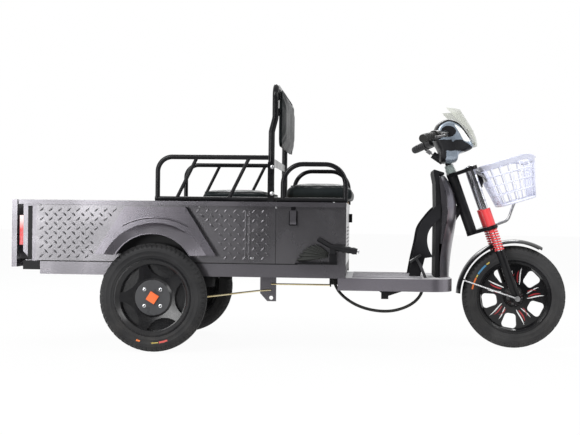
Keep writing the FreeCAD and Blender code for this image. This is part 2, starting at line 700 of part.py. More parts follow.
front_panel = cut("FrontPanel", front_sheet, group("Vents", slots))
node(group("compartment_panels", [bulkhead, front_panel]), "compartment_panels")

# Battery pack and controller on the compartment floor
compartment_floor = box("CompartmentFloor", (bulkhead_x, -sill_inner, box_bottom - wall),
                        (box_front - cross_depth, sill_inner, box_bottom))
battery_length = size("battery_length", 181, "length of a battery")
battery_width = size("battery_width", 77, "width of a battery")
battery_height = size("battery_height", 170, "height of a battery")
battery_gap = size("battery_gap", 6, "space between batteries")
controller_width = size("controller_width", 150, "width of the motor controller")
controller_depth = size("controller_depth", 60, "depth of the motor controller")
controller_height = size("controller_height", 90, "height of the motor controller")
doc.recompute()
BATTERIES = 5
cells = []
battery_pitch = battery_width + battery_gap
for index in range(BATTERIES):
    centre = battery_pitch * (index - (BATTERIES - 1) / 2)
    low = (bulkhead_x + battery_gap, centre - battery_width / 2, box_bottom)
    high = (bulkhead_x + battery_gap + battery_length, centre + battery_width / 2,
            box_bottom + battery_height)
    cells.append(box("Battery%d" % index, low, high))
controller = box("Controller", (box_front - wall - controller_depth, -controller_width / 2, box_bottom),
                 (box_front - wall, controller_width / 2, box_bottom + controller_height))
node(group("power_pack", cells + [controller, compartment_floor]), "power_pack")

# Tailgate with a raised frame, hinge lugs and its two pins
gate = doc.addObject("PartDesign::Body", "GatePanel")
gate_half = box_half_width + rim_overhang / 2
pad(gate, sketch(gate, "YZ_Plane", [(-gate_half, gate_bottom), (gate_half, gate_bottom),
                                    (gate_half, rim_top), (-gate_half, rim_top)]), gate_thickness)
recess_low = gate_bottom + gate_rim
recess_high = rim_top - gate_rim
recess_half = gate_half - gate_rim
recess = [(-recess_half, recess_low), (recess_half, recess_low), (recess_half, recess_high),
          (-recess_half, recess_high)]
pocket(gate, sketch(gate, "YZ_Plane", recess, "Recess"), gate_recess, reverse=True)
bind(gate, "Placement.Base.x", -tail_overhang)
gate_pieces = [gate]
for side, centre in (("Right", -hinge_y), ("Left", hinge_y)):
    for end, start in (("A", centre - knuckle_length / 2 - seat_gap - lug_length),
                       ("B", centre + knuckle_length / 2 + seat_gap)):
        gate_pieces.append(knuckle("GateLug" + side + end, hinge_x, hinge_z, start, lug_length,
                                   -tail_overhang + gate_thickness))
    gate_pieces.append(hinge_pin("GatePin" + side, hinge_x, hinge_z, centre))
node(fuse("tailgate", gate_pieces), "tailgate")

# Hand rail, slanted bars and seat guard of one side
rail_foot = rim_top + rail_radius


def hand_rail():
    y = -rail_y
    base = bar((-rail_radius, y, rail_foot), (guard_front + rail_radius, y, rail_foot), rail_radius)
    hoop = tube([(0, y, rail_foot), (0, y, rail_top), (backrest_x - backrest_radius - seat_gap, y, rail_top)],
                rail_radius, rail_corner)
    guard = tube([(guard_rear, y, rail_foot), (guard_rear, y, guard_top), (guard_front, y, guard_top),
                  (guard_front, y, rail_foot)], rail_radius, guard_corner)
    shapes = [hoop, guard]
    for index in range(2):
        start = brace_x + brace_pitch * index
        shapes.append(bar((start, y, rail_foot), (start + brace_lean, y, rail_top), brace_radius))
    return base.fuse(shapes).removeSplitter()


side_rail_right = node(feature("side_rail_right", hand_rail()), "side_rail_right")
side_rail_left = mirrored(side_rail_right, "side_rail_left")

# Backrest frame: bent tube, flat bolted bars and a cross plate
backrest_face = backrest_x + backrest_offset


def backrest_tube():
    foot = rim_top + rail_radius * 2
    high = backrest_bend + backrest_rise
    points = []
    for y in (-rail_y, rail_y):
        leg = [(backrest_x, y, foot), (backrest_x, y, backrest_bend), (backrest_face, y, high),
               (backrest_face, y, backrest_top)]
        points += leg if number(y) < 0 else leg[::-1]
    return tube(points, backrest_radius, backrest_corner)


def flat_bar(sign):
    """Flat bar bolted to the outside of a post, with a row of spare holes."""
    inner = (rail_y + backrest_radius) * sign
    outer = (rail_y + backrest_radius + strap_thickness) * sign
    low, high = sorted((inner, outer), key=number)
    outline = [(backrest_x - backrest_radius, rim_top), (backrest_x + backrest_radius, rim_top),
               (backrest_x + backrest_radius, strap_top), (backrest_x - backrest_radius, strap_top)]
    plate = slab(outline, low, high)
    for share in range(1, 7):
        height = rim_top + (strap_top - rim_top) * (share / 7.0)
        hole = Part.makeCylinder(number(strap_hole), number(strap_thickness) * 2,
                                 point(backrest_x, low - strap_thickness / 2, height), Vector(0, 1, 0))
        plate = plate.cut(hole)
    return plate


cross_plate_height = size("cross_plate_height", 30, "height of the backrest cross plate")
cross_plate_z = size("cross_plate_z", 735, "ground to the backrest cross plate")
pad_strap_low = size("pad_strap_low", 930, "ground to the lower strap behind the backrest pad")
pad_strap_high = size("pad_strap_high", 992, "ground to the upper strap behind the backrest pad")
doc.recompute()
cross_plate = box("BackrestCrossPlate",
                  (backrest_x, -(rail_y - backrest_radius), cross_plate_z),
                  (backrest_x + strap_thickness, rail_y - backrest_radius,
                   cross_plate_z + cross_plate_height))
pad_strap_back = backrest_face + backrest_radius
pad_strap_face = pad_strap_back + strap_thickness
pad_straps = []
for index, height in enumerate((pad_strap_low, pad_strap_high)):
    pad_straps.append(box("PadStrap%d" % index, (pad_strap_back, -rail_y, height),
                          (pad_strap_face, rail_y, height + cross_plate_height)))
node(group("backrest_frame", [feature("BackrestTube", backrest_tube()), feature("FlatBarRight", flat_bar(-1)),
                              feature("FlatBarLeft", flat_bar(1)), cross_plate] + pad_straps),
                              "backrest_frame")


def cushion(low, high):
    """A crowned cushion: flat base, sides drawn in at the edges, top swelling to its middle."""
    low = [number(value) for value in low]
    high = [number(value) for value in high]
    depth = high[2] - low[2]
    corner = min(CUSHION_ROUND, depth)
    wires = []
    for share, inset in CUSHION_LEVELS:
        wires.append(rounded_rectangle(low[0] + inset, high[0] - inset, low[1] + inset, high[1] - inset,
                                       corner, low[2] + depth * share))
    return Part.makeLoft(wires, True, True)


CUSHION_LEVELS = ((0.0, 5.0), (0.2, 1.0), (0.45, 0.0), (0.65, 4.0), (0.8, 14.0), (0.92, 34.0), (1.0, 80.0))
CUSHION_ROUND = 34.0


def rounded_rectangle(x0, x1, y0, y1, radius, z):
    """A level rectangle with round corners."""
    corners = ((x1 - radius, y0 + radius, -45), (x1 - radius, y1 - radius, 45),
               (x0 + radius, y1 - radius, 135), (x0 + radius, y0 + radius, 225))
    arcs = []
    for cx, cy, middle in corners:
        ends = []
        for turn in (middle - 45, middle, middle + 45):
            angle = math.radians(turn)
            ends.append(Vector(cx + radius * math.cos(angle), cy + radius * math.sin(angle), z))
        arcs.append(Part.Arc(*ends).toShape())
    edges = []
    for index, arc in enumerate(arcs):
        edges.append(arc)
        follower = arcs[(index + 1) % len(arcs)]
        edges.append(Part.LineSegment(arc.Vertexes[-1].Point, follower.Vertexes[0].Point).toShape())
    return Part.Wire(edges)


def turned_to_back(shape, x, z):
    """Turn a cushion modelled lying down so that its base stands at a given X."""
    shape.rotate(Vector(0, 0, 0), Vector(0, 1, 0), 90)
    shape.translate(point(x, 0, z))
    return shape


pad_height = pad_top - pad_bottom
pad_shape = turned_to_back(cushion((0, -pad_half_width, 0), (pad_height, pad_half_width, pad_thickness)),
                           pad_strap_face + seat_gap, pad_top)
node(feature("backrest_pad", pad_shape), "backrest_pad")

# Driver's seat on a lid hinged at the front panel
lid_half_width = rail_y - rail_radius * 2
lid_bottom = rim_top + seat_gap
lid_low = (seat_lid_rear, -lid_half_width, lid_bottom)
lid_front = lid_hinge_x - hinge_radius - seat_gap
lid_high = (lid_front, lid_half_width, lid_bottom + seat_board)


def hinged_board(name, board, pin_x, leaf_x):
    """A seat board with the lugs and pins of its two hinges."""
    pieces = [board]
    for side, centre in (("Right", -lid_hinge_y), ("Left", lid_hinge_y)):
        for end, start in (("A", centre - knuckle_length / 2 - seat_gap - lug_length),
                           ("B", centre + knuckle_length / 2 + seat_gap)):
            pieces.append(knuckle(name + "Lug" + side + end, pin_x, seat_hinge_z, start, lug_length, leaf_x))
        pieces.append(hinge_pin(name + "Pin" + side, pin_x, seat_hinge_z, centre))
    return fuse(name, pieces)


node(hinged_board("seat_lid", box("SeatBoard", lid_low, lid_high), lid_hinge_x, lid_front), "seat_lid")
seat_shape = cushion((seat_rear, -seat_half_width, lid_bottom + seat_board),
                     (seat_front, seat_half_width, seat_top))
node(feature("seat_cushion", seat_shape), "seat_cushion")

# Passenger bench: a folding cushion on its board
bench_board_top = bench_tube_top + seat_gap + seat_board
bench_board = box("BenchBoard", (bench_rear, -bench_half_width, bench_tube_top + seat_gap),
                  (bench_front, bench_half_width, bench_board_top))
bench_shape = cushion((bench_rear, -bench_half_width, bench_board_top), (bench_front, bench_half_width,
                                                                         bench_top))
hinged_bench = hinged_board("HingedBench", bench_board, bench_hinge_x, bench_front)
node(group("bench_cushion", [hinged_bench, feature("BenchPad", bench_shape)]), "bench_cushion")

# Foot floor: pan with a skirt and raised ribs
floor_body = doc.addObject("PartDesign::Body", "FloorPan")
floor_outline = [(floor_rear, -floor_half_width), (floor_front, -floor_half_width),
                 (floor_front, floor_half_width), (floor_rear, floor_half_width)]
floor_pad = pad(floor_body, sketch(floor_body, "XY_Plane", floor_outline), floor_skirt)
doc.recompute()
corners = floor_body.newObject("PartDesign::Fillet", "FrontCorners")
corners.Base = (floor_pad, vertical_edges(floor_pad.Shape, floor_front))
bind(corners, "Radius", floor_round)
hollow_outline = [(floor_rear - floor_sheet, -(floor_half_width - floor_sheet)),
                  (floor_front - floor_round, -(floor_half_width - floor_sheet)),
                  (floor_front - floor_sheet, -(floor_half_width - floor_round)),
                  (floor_front - floor_sheet, floor_half_width - floor_round),
                  (floor_front - floor_round, floor_half_width - floor_sheet),
                  (floor_rear - floor_sheet, floor_half_width - floor_sheet)]
hollow = pocket(floor_body, sketch(floor_body, "XY_Plane", hollow_outline, "Hollow"),
                floor_skirt - floor_sheet, reverse=True)
bind(floor_body, "Placement.Base.z", floor_top - floor_skirt)
ribs = []
for index in range(-8, 9):
    start = (box_front + rib_pitch, rib_pitch * index, floor_top)
    ribs.append(cylinder("FloorRib%d" % (index + 8), rib_radius, start,
                         panel_rear - box_front - rib_pitch * 3, "x"))
neck_x = size("neck_x", 1147, "rear axle forward to the foot of the neck tube")
neck_radius = size("neck_radius", 16, "radius of the neck tube")
neck_gap = size("neck_gap", 2, "clearance of the covers round the neck tube")
doc.recompute()
neck_hole = cylinder("NeckHole", neck_radius + neck_gap, (neck_x, 0, floor_top - floor_skirt),
                     floor_skirt * 2, "z")
pedal_slot = box("PedalSlot", (pedal_x - pedal_slot_length, -pedal_y - pedal_slot_half,
                               floor_top - floor_skirt),
                 (pedal_x + pedal_arm, -pedal_y + pedal_slot_half, floor_top + floor_skirt))
floor_openings = group("FloorOpenings", [neck_hole, pedal_slot])
node(cut("floor_pan", fuse("RibbedFloor", [floor_body] + ribs), floor_openings), "floor_pan")

# Leg shield: a bowed sheet lofted through level sections, each given as
# height, front at the centre line, rear edge and half width
SHIELD = (
    (293, 1172, 1128, 118),
    (377, 1178, 1128, 126),
    (450, 1188, 1138, 134),
    (537, 1200, 1154, 138),
    (595, 1199, 1156, 132),
    (664, 1180, 1142, 118),
    (712, 1150, 1126, 96),
)


def shield_section(height, front, rear, half):
    sheet_depth = number(shield_sheet)
    outer = Part.Arc(Vector(rear, -half, height), Vector(front, 0, height), Vector(rear, half, height))
    inner = Part.Arc(Vector(rear, half - sheet_depth, height), Vector(front - sheet_depth, 0, height),
                     Vector(rear, -half + sheet_depth, height))
    return Part.Wire([
        outer.toShape(),
        Part.LineSegment(Vector(rear, half, height), Vector(rear, half - sheet_depth, height)).toShape(),
        inner.toShape(),
        Part.LineSegment(Vector(rear, -half + sheet_depth, height), Vector(rear, -half, height)).toShape(),
    ])


def axis_point(along, across=0.0, y=0.0):
    """A point of the fork: so far up it from the front axle, and so far behind its legs."""
    lean = math.radians(number(rake))
    along = number(along)
    across = number(across)
    return Vector(number(wheelbase) - along * math.sin(lean) - across * math.cos(lean), number(y),
                  number(tyre_radius) + along * math.cos(lean) - across * math.sin(lean))


UP_FORK = axis_point(1.0) - axis_point(0.0)
head_low = lower_crown + crown_thickness + seat_gap
head_high = upper_crown - seat_gap
neck_bend_z = size("neck_bend_z", 470, "ground to the bend of the neck tube")
doc.recompute()
head_middle = axis_point((head_low + head_high) / 2, fork_offset)


def neck_tube(radius):
    foot = (neck_x, 0, floor_top - floor_skirt / 2)
    bend = (neck_x, 0, neck_bend_z)
    return tube([foot, bend, (head_middle.x, 0, head_middle.z)], radius, 80)


shield_shape = Part.makeLoft([shield_section(*row) for row in SHIELD], True, False)
head_clearance = Part.makeCylinder(number(head_radius + neck_gap), number(head_high - head_low),
                                   axis_point(head_low, fork_offset), UP_FORK)
shield_shape = shield_shape.cut(neck_tube(neck_radius + neck_gap)).cut(head_clearance)
node(feature("leg_shield", shield_shape), "leg_shield")

# Black inner panel with its cap, and the leg braces on both sides of it
BRACE_OUTER = ((1128, 597), (1102, 578), (1066, 536), (1041, 496), (1031, 448), (1017, 382), (1002, 298))
BRACE_FOOT = ((1048, 298), (1058, 340), (1066, 372))
BRACE_INNER = ((1100, 377), (1076, 430), (1083, 485), (1102, 511), (1128, 537))


def smooth(points, y):
    curve = Part.BSplineCurve()
    curve.interpolate([Vector(x, y, z) for x, z in points])
    return curve.toShape()


def straight(first, last, y):
    return Part.LineSegment(Vector(first[0], y, first[1]), Vector(last[0], y, last[1])).toShape()


def leg_brace(low, high):
    """A Y-shaped brace from the inner panel down to the floor."""
    low = number(low)
    runs = [smooth(BRACE_OUTER, low), straight(BRACE_OUTER[-1], BRACE_FOOT[0], low), smooth(BRACE_FOOT, low),
            straight(BRACE_FOOT[-1], BRACE_INNER[0], low), smooth(BRACE_INNER, low),
            straight(BRACE_INNER[-1], BRACE_OUTER[0], low)]
    return Part.Face(Part.Wire(runs)).extrude(Vector(0, number(high) - low, 0))


def inner_panel():
    front = panel_rear + panel_thickness
    outline = [(panel_rear + 8, floor_top), (front + 6, floor_top), (front + 4, 420), (front + 8, 560),
               (front + 2, panel_top - 8), (1142, panel_top - 8), (1140, panel_top),
               (panel_rear, panel_top + 12), (panel_rear - 2, panel_top), (panel_rear + 6, 680),
               (panel_rear + 9, 580)]
    return slab(outline, -panel_half_width, panel_half_width)


brace_in = panel_half_width
brace_out = panel_half_width + brace_plate
node(group("inner_panel", [
    feature("InnerPanel", inner_panel()),
    feature("LegBraceRight", leg_brace(-brace_out, -brace_in)),
    feature("LegBraceLeft", leg_brace(brace_in, brace_out)),
]), "inner_panel")

# Neck frame: floor tubes, neck tube and head tube welded together
floor_tube = size("floor_tube", 30, "side of the tubes under the floor")
floor_tube_y = size("floor_tube_y", 120, "centre plane to a floor tube")
doc.recompute()
floor_tube_top = floor_top - floor_sheet - seat_gap


def block(low, high):
    low = point(*low)
    span = point(*high) - low
    return Part.makeBox(span.x, span.y, span.z, low)


def neck_frame():
    rear = box_front - cross_depth - floor_tube
    low_z = floor_tube_top - floor_tube
    front = neck_x + floor_tube / 2
    shapes = [neck_tube(neck_radius)]
    for sign in (-1, 1):
        inner = floor_tube_y * sign - floor_tube / 2
        shapes.append(block((rear, inner, low_z), (front, inner + floor_tube, floor_tube_top)))
        shapes.append(block((rear, inner, low_z), (rear + floor_tube, inner + floor_tube, box_bottom - wall)))
    shapes.append(block((front - floor_tube, -floor_tube_y, low_z), (front, floor_tube_y, floor_tube_top)))
    head_length = number(head_high - head_low)
    head = Part.makeCylinder(number(head_radius), head_length, axis_point(head_low, fork_offset), UP_FORK)
    bore = Part.makeCylinder(number(stem_radius + fit_gap), head_length, axis_point(head_low, fork_offset),
                             UP_FORK)
    relief = Part.makeCylinder(number(stem_radius) + 4, head_length - 2 * number(bearing_height),
                               axis_point(head_low + bearing_height, fork_offset), UP_FORK)
    return head.fuse(shapes).removeSplitter().cut(bore.fuse(relief))


node(feature("neck_frame", neck_frame()), "neck_frame")

# Brackets under the box: spring hangers, the bored hanging bracket and the pedal bracket
hanger_half = size("hanger_half", 16, "half length of a spring hanger")
hanger_sheet = size("hanger_sheet", 4, "thickness of a spring hanger")
eye_z = size("eye_z", 267, "ground to the spring eyes")
eye_radius = size("eye_radius", 9, "outer radius of a spring eye")
eye_bolt_radius = size("eye_bolt_radius", 5, "radius of a spring eye bolt")
bracket_rear = size("bracket_rear", 402, "rear axle forward to the hanging bracket")
bracket_front = size("bracket_front", 467, "rear axle forward to the front of the hanging bracket")
bracket_bottom = size("bracket_bottom", 192, "ground to the hanging bracket")
bracket_sheet = size("bracket_sheet", 6, "thickness of the hanging bracket")
bore_x = size("bore_x", 447, "rear axle forward to the bore of the hanging bracket")
bore_z = size("bore_z", 206, "ground to the bore of the hanging bracket")
doc.recompute()


def spring_hanger(x, sign):
    """Two cheeks and a top plate welded to a sill, with the bolt through the spring eye."""
    half = leaf_width / 2 + seat_gap
    inner = spring_y - half - hanger_sheet
    shapes = []
    for start in (inner, spring_y + half):
        low, high = sorted((start * sign, (start + hanger_sheet) * sign), key=number)
        shapes.append(block((x - hanger_half, low, eye_z - hanger_half), (x + hanger_half, high,
                                                                          cross_bottom)))
    low, high = sorted((inner * sign, sill_inner * sign), key=number)
    shapes.append(block((x - hanger_half, low, cross_bottom - hanger_sheet), (x + hanger_half, high,
                                                                              cross_bottom)))
    bolt_low, bolt_high = sorted((inner * sign, (spring_y + half + hanger_sheet) * sign), key=number)
    bolt = bar((x, bolt_low, eye_z), (x, bolt_high, eye_z), eye_bolt_radius)
    return shapes[0].fuse(shapes[1:] + [bolt]).removeSplitter()


hangers = []
for end, x in (("Rear", -leaf_half_length), ("Front", leaf_half_length)):
    for side, sign in (("Right", -1), ("Left", 1)):
        hangers.append(feature("SpringHanger" + end + side, spring_hanger(x, sign)))

hanging = doc.addObject("PartDesign::Body", "HangingBracket")
hanging_outline = [(bracket_rear, cross_bottom), (bracket_rear, bracket_bottom + bracket_bore * 4),
                   (bore_x - bracket_bore * 2, bracket_bottom), (bracket_front, bracket_bottom),
                   (bracket_front, cross_bottom)]
pad(hanging, sketch(hanging, "XZ_Plane", hanging_outline), bracket_sheet, both=True)
bind(hanging, "Placement.Base.y", -bracket_y)
bore_tool = cylinder("BracketBore", bracket_bore, (bore_x, -bracket_y - bracket_sheet, bore_z),
                     bracket_sheet * 2)
bored_bracket = cut("BoredBracket", hanging, bore_tool)


pedal_seat = floor_top - floor_sheet
pedal_cheek = size("pedal_cheek", 5, "thickness of a pedal bracket cheek")
pedal_half = size("pedal_half", 18, "half length of the pedal bracket")
stand_rear = size("stand_rear", 872, "rear axle forward to the foot plate")
stand_foot = size("stand_foot", 890, "rear axle forward to the stop of the foot plate")
stand_toe = size("stand_toe", 919, "rear axle forward to the front of that stop")
stand_front = size("stand_front", 992, "rear axle forward to the front of the foot plate")
stand_knee = size("stand_knee", 243, "ground to the ends of the foot plate")
stand_bottom = size("stand_bottom", 205, "ground to the stop of the foot plate")
stand_drop = size("stand_drop", 13, "height of the steps in the foot plate")
stand_y = size("stand_y", 150, "centre plane to the foot plate")
doc.recompute()


def pedal_bracket():
    """Two cheeks under the floor, joined by a web, that carry the pedal pin."""
    gap = pedal_arm / 2 + seat_gap
    shapes = []
    for start in (-pedal_y - gap - pedal_cheek, -pedal_y + gap):
        cheek = [(pedal_x - pedal_half, pedal_seat), (pedal_x - pedal_pin * 2, pedal_z - pedal_pin * 2),
                 (pedal_x + pedal_pin * 2, pedal_z - pedal_pin * 2), (pedal_x + pedal_half, pedal_seat)]
        shapes.append(slab(cheek, start, start + pedal_cheek))
    web = block((pedal_x + pedal_pin * 2 + pedal_cheek / 2, -pedal_y - gap, pedal_seat - pedal_cheek),
                (pedal_x + pedal_half, -pedal_y + gap, pedal_seat))
    hole = bar((pedal_x, -pedal_y - gap * 3, pedal_z), (pedal_x, -pedal_y + gap * 3, pedal_z),
               pedal_pin + fit_gap)
    return [shapes[0].fuse([shapes[1], web]).removeSplitter().cut(hole)]


def stand_plate():
    """Folded foot plate under the floor, seen as a wedge with a stop below the skirt."""
    foot = [(stand_rear, pedal_seat), (stand_rear, stand_knee), (stand_foot, stand_knee - stand_drop),
            (stand_foot, stand_bottom), (stand_toe, stand_bottom), (stand_toe, stand_bottom + stand_drop),
            (stand_front, stand_knee), (stand_front, pedal_seat)]
    return slab(foot, -stand_y - bracket_sheet / 2, -stand_y + bracket_sheet / 2)


pedal_cheeks = [feature("PedalCheek%d" % index, shape) for index, shape in enumerate(pedal_bracket())]
node(group("underbody_brackets", hangers + [bored_bracket] + pedal_cheeks + [feature("FootPlate",
                                                                                     stand_plate())]),
     "underbody_brackets")


def leaf_spring(sign):
    """Curved leaves of falling length, the longest one rolled into an eye at each end."""
    width = number(leaf_width)
    low_y = number(spring_y) * sign - width / 2
    thick = number(leaf_thickness)
    half = number(leaf_half_length)
    top = number(eye_z)
    camber = number(leaf_camber)
    bend = half ** 2 / (2 * camber)
    leaves = []
    for index in range(int(number(leaf_count))):
        reach = half * (1.0 - 0.2 * index)
        level = top - camber - thick * index
        rise = reach ** 2 / (2 * bend)
        upper = Part.Arc(Vector(-reach, low_y, level + rise), Vector(0, low_y, level), Vector(reach, low_y,
                                                                                              level + rise))
        lower = Part.Arc(Vector(reach, low_y, level + rise - thick), Vector(0, low_y, level - thick),
                         Vector(-reach, low_y, level + rise - thick))
        edges = [upper.toShape(),
                 Part.LineSegment(Vector(reach, low_y, level + rise), Vector(reach, low_y,
                                                                             level + rise - thick)).toShape(),
                 lower.toShape(),
                 Part.LineSegment(Vector(-reach, low_y, level + rise - thick), Vector(-reach, low_y,
                                                                                      level + rise)).toShape()]
        leaves.append(Part.Face(Part.Wire(edges)).extrude(Vector(0, width, 0)))
    pack = leaves[0].fuse(leaves[1:])
    for x in (-half, half):
        start = Vector(x, low_y, top)
        pack = pack.fuse(Part.makeCylinder(number(eye_radius), width, start, Vector(0, 1, 0)))
    for x in (-half, half):
        start = Vector(x, low_y, top)
        pack = pack.cut(Part.makeCylinder(number(eye_bolt_radius + fit_gap), width, start, Vector(0, 1, 0)))
    return pack.removeSplitter()


node(group("leaf_springs", [feature("LeafSpringRight", leaf_spring(-1)), feature("LeafSpringLeft",
                                                                                 leaf_spring(1))]),
     "leaf_springs")

# Drive axle: tube, differential case and motor
axle_end = size("axle_end", 297, "centre plane to the end of the axle tube")
spindle_depth = size("spindle_depth", 60, "depth of a half shaft in the axle tube")
case_width = size("case_width", 120, "width of the differential case")
motor_back = size("motor_back", 112, "rear axle back to the motor shaft")
doc.recompute()


def drive_axle():
    axis_z = tyre_radius
    casing = [(0, -case_width / 2), (differential_radius * 0.72, -case_width / 2),
              (differential_radius, -case_width * 0.25), (differential_radius, case_width * 0.25),
              (differential_radius * 0.72, case_width / 2), (0, case_width / 2)]
    corners = [Vector(number(r), number(y), 0) for r, y in casing]
    case = Part.Face(Part.makePolygon(corners + corners[:1])).revolve(Vector(), Vector(0, 1, 0), 360)
    case.translate(point(0, 0, axis_z))
    shaft_tube = bar((0, -axle_end, axis_z), (0, axle_end, axis_z), axle_tube_radius)
    motor_start = case_width / 4
    motor = bar((-motor_back, motor_start - motor_length, axis_z), (-motor_back, motor_start, axis_z),
                motor_radius)
    gearbox = block((-motor_back, -case_width / 4, axis_z - motor_radius / 2),
                    (0, case_width / 4, axis_z + motor_radius / 2))
    whole = shaft_tube.fuse([case, motor, gearbox]).removeSplitter()
    for start, end in ((-axle_end, -axle_end + spindle_depth), (axle_end - spindle_depth, axle_end)):
        whole = whole.cut(bar((0, start, axis_z), (0, end, axis_z), shaft_radius + fit_gap))
    return whole


node(feature("drive_axle", drive_axle()), "drive_axle")

# Brake plates, spring seats and U-bolts on the axle
brake_plate_sheet = size("brake_plate_sheet", 4, "thickness of a brake plate")
clamp_radius = size("clamp_radius", 4, "radius of a U-bolt")
clamp_plate = size("clamp_plate", 6, "thickness of a spring clamp plate")
doc.recompute()
leaf_bottom = eye_z - leaf_camber - leaf_thickness * leaf_count
leaf_top = eye_z - leaf_camber


def brake_plate(sign):
    inner = (axle_end - brake_plate_sheet) * sign
    plate = bar((0, inner, tyre_radius), (0, axle_end * sign, tyre_radius), drum_radius)
    return plate.cut(bar((0, inner, tyre_radius), (0, axle_end * sign, tyre_radius), axle_tube_radius))


def spring_clamp(sign):
    """Seat under the leaves, plate over them and two U-bolts round the axle tube."""
    y = spring_y * sign
    half = leaf_width / 2
    reach = axle_tube_radius + clamp_radius
    seat = block((-reach, y - half, tyre_radius), (reach, y + half, leaf_bottom - seat_gap))
    seat = seat.cut(bar((0, y - half, tyre_radius), (0, y + half, tyre_radius), axle_tube_radius))
    plate_half = half + clamp_radius * 2.25
    top = leaf_top + seat_gap + 1
    plate = block((-reach - clamp_radius * 2, y - plate_half, top), (reach + clamp_radius * 2,
                                                                     y + plate_half, top + clamp_plate))
    shapes = []
    for side in (-1, 1):
        place = y + (half + clamp_radius + seat_gap) * side
        legs = tube([(-reach, place, top), (-reach, place, tyre_radius - reach),
                     (reach, place, tyre_radius - reach), (reach, place, top)], clamp_radius, reach - 0.5)
        shapes.append(legs)
    return [seat, plate.fuse(shapes).removeSplitter()]


fittings = []
for side, sign in (("Right", -1), ("Left", 1)):
    fittings.append(feature("BrakePlate" + side, brake_plate(sign)))
    for index, shape in enumerate(spring_clamp(sign)):
        fittings.append(feature("SpringClamp%s%d" % (side, index), shape))
node(group("axle_fittings", fittings), "axle_fittings")


tyre_shoulder = size("tyre_shoulder", 0.8, "tread half width as a share of the tyre half width")
tyre_crown = size("tyre_crown", 9, "drop of the tread at its shoulders")
flange_width = size("flange_width", 5, "width of a rim flange")
flange_slope = size("flange_slope", 3, "width of the slope inside a rim flange")
flange_height = size("flange_height", 8, "height of a rim flange over the bead seat")
doc.recompute()


def tyre(width):
    """A round-shouldered tyre section turned about its axle, with its bead inside the rim flanges."""
    radius = number(tyre_radius)
    half = number(width) / 2
    edge = number(rim_radius + seat_gap)
    bead = number(rim_radius - flange_height + seat_gap)
    sidewall_foot = number(rim_half_width) - 2
    bead_top = number(rim_half_width - flange_width - seat_gap)
    seat = number(rim_half_width - flange_width - flange_slope - seat_gap)
    bulge = (edge + radius) / 2
    shoulder = half * number(tyre_shoulder)
    crown_edge = radius - number(tyre_crown)
    right = [Vector(0, sidewall_foot, edge), Vector(0, bead_top, edge), Vector(0, seat, bead)]
    left = [Vector(0, -place.y, place.z) for place in reversed(right)]
    base = right + left
    lines = [
        Part.Arc(Vector(0, -shoulder, crown_edge), Vector(0, 0, radius), Vector(0, shoulder,
                                                                                crown_edge)).toShape(),
        Part.Arc(Vector(0, shoulder, crown_edge), Vector(0, half, bulge), base[0]).toShape(),
    ]
    for first, last in zip(base, base[1:]):
        lines.append(Part.LineSegment(first, last).toShape())
    lines.append(Part.Arc(base[-1], Vector(0, -half, bulge), Vector(0, -shoulder, crown_edge)).toShape())
    return Part.Face(Part.Wire(lines)).revolve(Vector(), Vector(0, 1, 0), 360)


def placed(shape, x, y, z):
    """Wrap a shape that was modelled about its own centre and set it in place."""
    copy = shape.copy()
    copy.translate(point(x, y, z))
    return copy


def rim_outline(offset):
    """Half section of a wheel: rim flanges, well and the disc down to the hub."""
    half = rim_half_width
    seat = half - flange_width - flange_slope
    bead = rim_radius - flange_height
    outer = offset + wheel_disc
    return [(-half, rim_radius), (-half + flange_width, rim_radius), (-seat, bead), (seat, bead),
            (half - flange_width, rim_radius), (half, rim_radius), (half, rim_radius - 6), (half - 6,
                                                                                            rim_radius - 14),
            (outer + 2, rim_radius - 20), (outer - 4, hub_radius + 8), (outer + 3, hub_radius),
            (outer + 3, shaft_radius + 1), (offset - 10, shaft_radius + 1), (offset - 10, hub_radius - 4),
            (offset - recess_back, hub_radius + 4), (offset - recess_back, rim_radius - 20), (-half + 4,
                                                                                              rim_radius - 14),
            (-half, rim_radius - 6)]


disc_offset = size("disc_offset", 6, "wheel centre plane out to the wheel disc")
recess_back = size("recess_back", 15, "wheel disc back to the rear of its recesses")
recess_floor = size("recess_floor", 6, "thickness left behind a recess")
recess_radius = size("recess_radius", 78, "radius of the round inner edge of a recess")
recess_circle = size("recess_circle", 164, "wheel centre to the centre of that edge")
recess_edge = size("recess_edge", 129, "wheel centre to the outer edge of the recesses")
bolt_circle = size("bolt_circle", 45, "radius of the circle of hub bolts")
bolt_radius = size("bolt_radius", 7, "radius of a hub bolt head")
cap_side = size("cap_side", 37, "side of the square hub cap")
cap_height = size("cap_height", 7, "height of the square hub cap")
doc.recompute()


def round_cutter(radius, x, y, z):
    """A cutter along the axle, from a height outwards."""
    return Part.makeCylinder(radius, number(rim_half_width) * 4, Vector(x, y, z), Vector(0, 1, 0))


def rear_wheel_body():
    """Turned rim and disc with recesses, each where a round cutter overlaps the disc inside the rim."""
    wheel = doc.addObject("PartDesign::Body", "RearRim")
    revolution(wheel, sketch(wheel, "YZ_Plane", rim_outline(disc_offset)))
    doc.recompute()
    low = number(disc_offset - recess_back + recess_floor)
    inside = round_cutter(number(recess_edge), 0, low, 0)
    recesses = []
    for index in range(int(number(pocket_count))):
        angle = 2 * math.pi * index / number(pocket_count)
        x = number(recess_circle) * math.cos(angle)
        z = number(recess_circle) * math.sin(angle)
        recesses.append(round_cutter(number(recess_radius), x, low, z).common(inside))
    return wheel.Shape.cut(recesses)


rear_rim = rear_wheel_body()


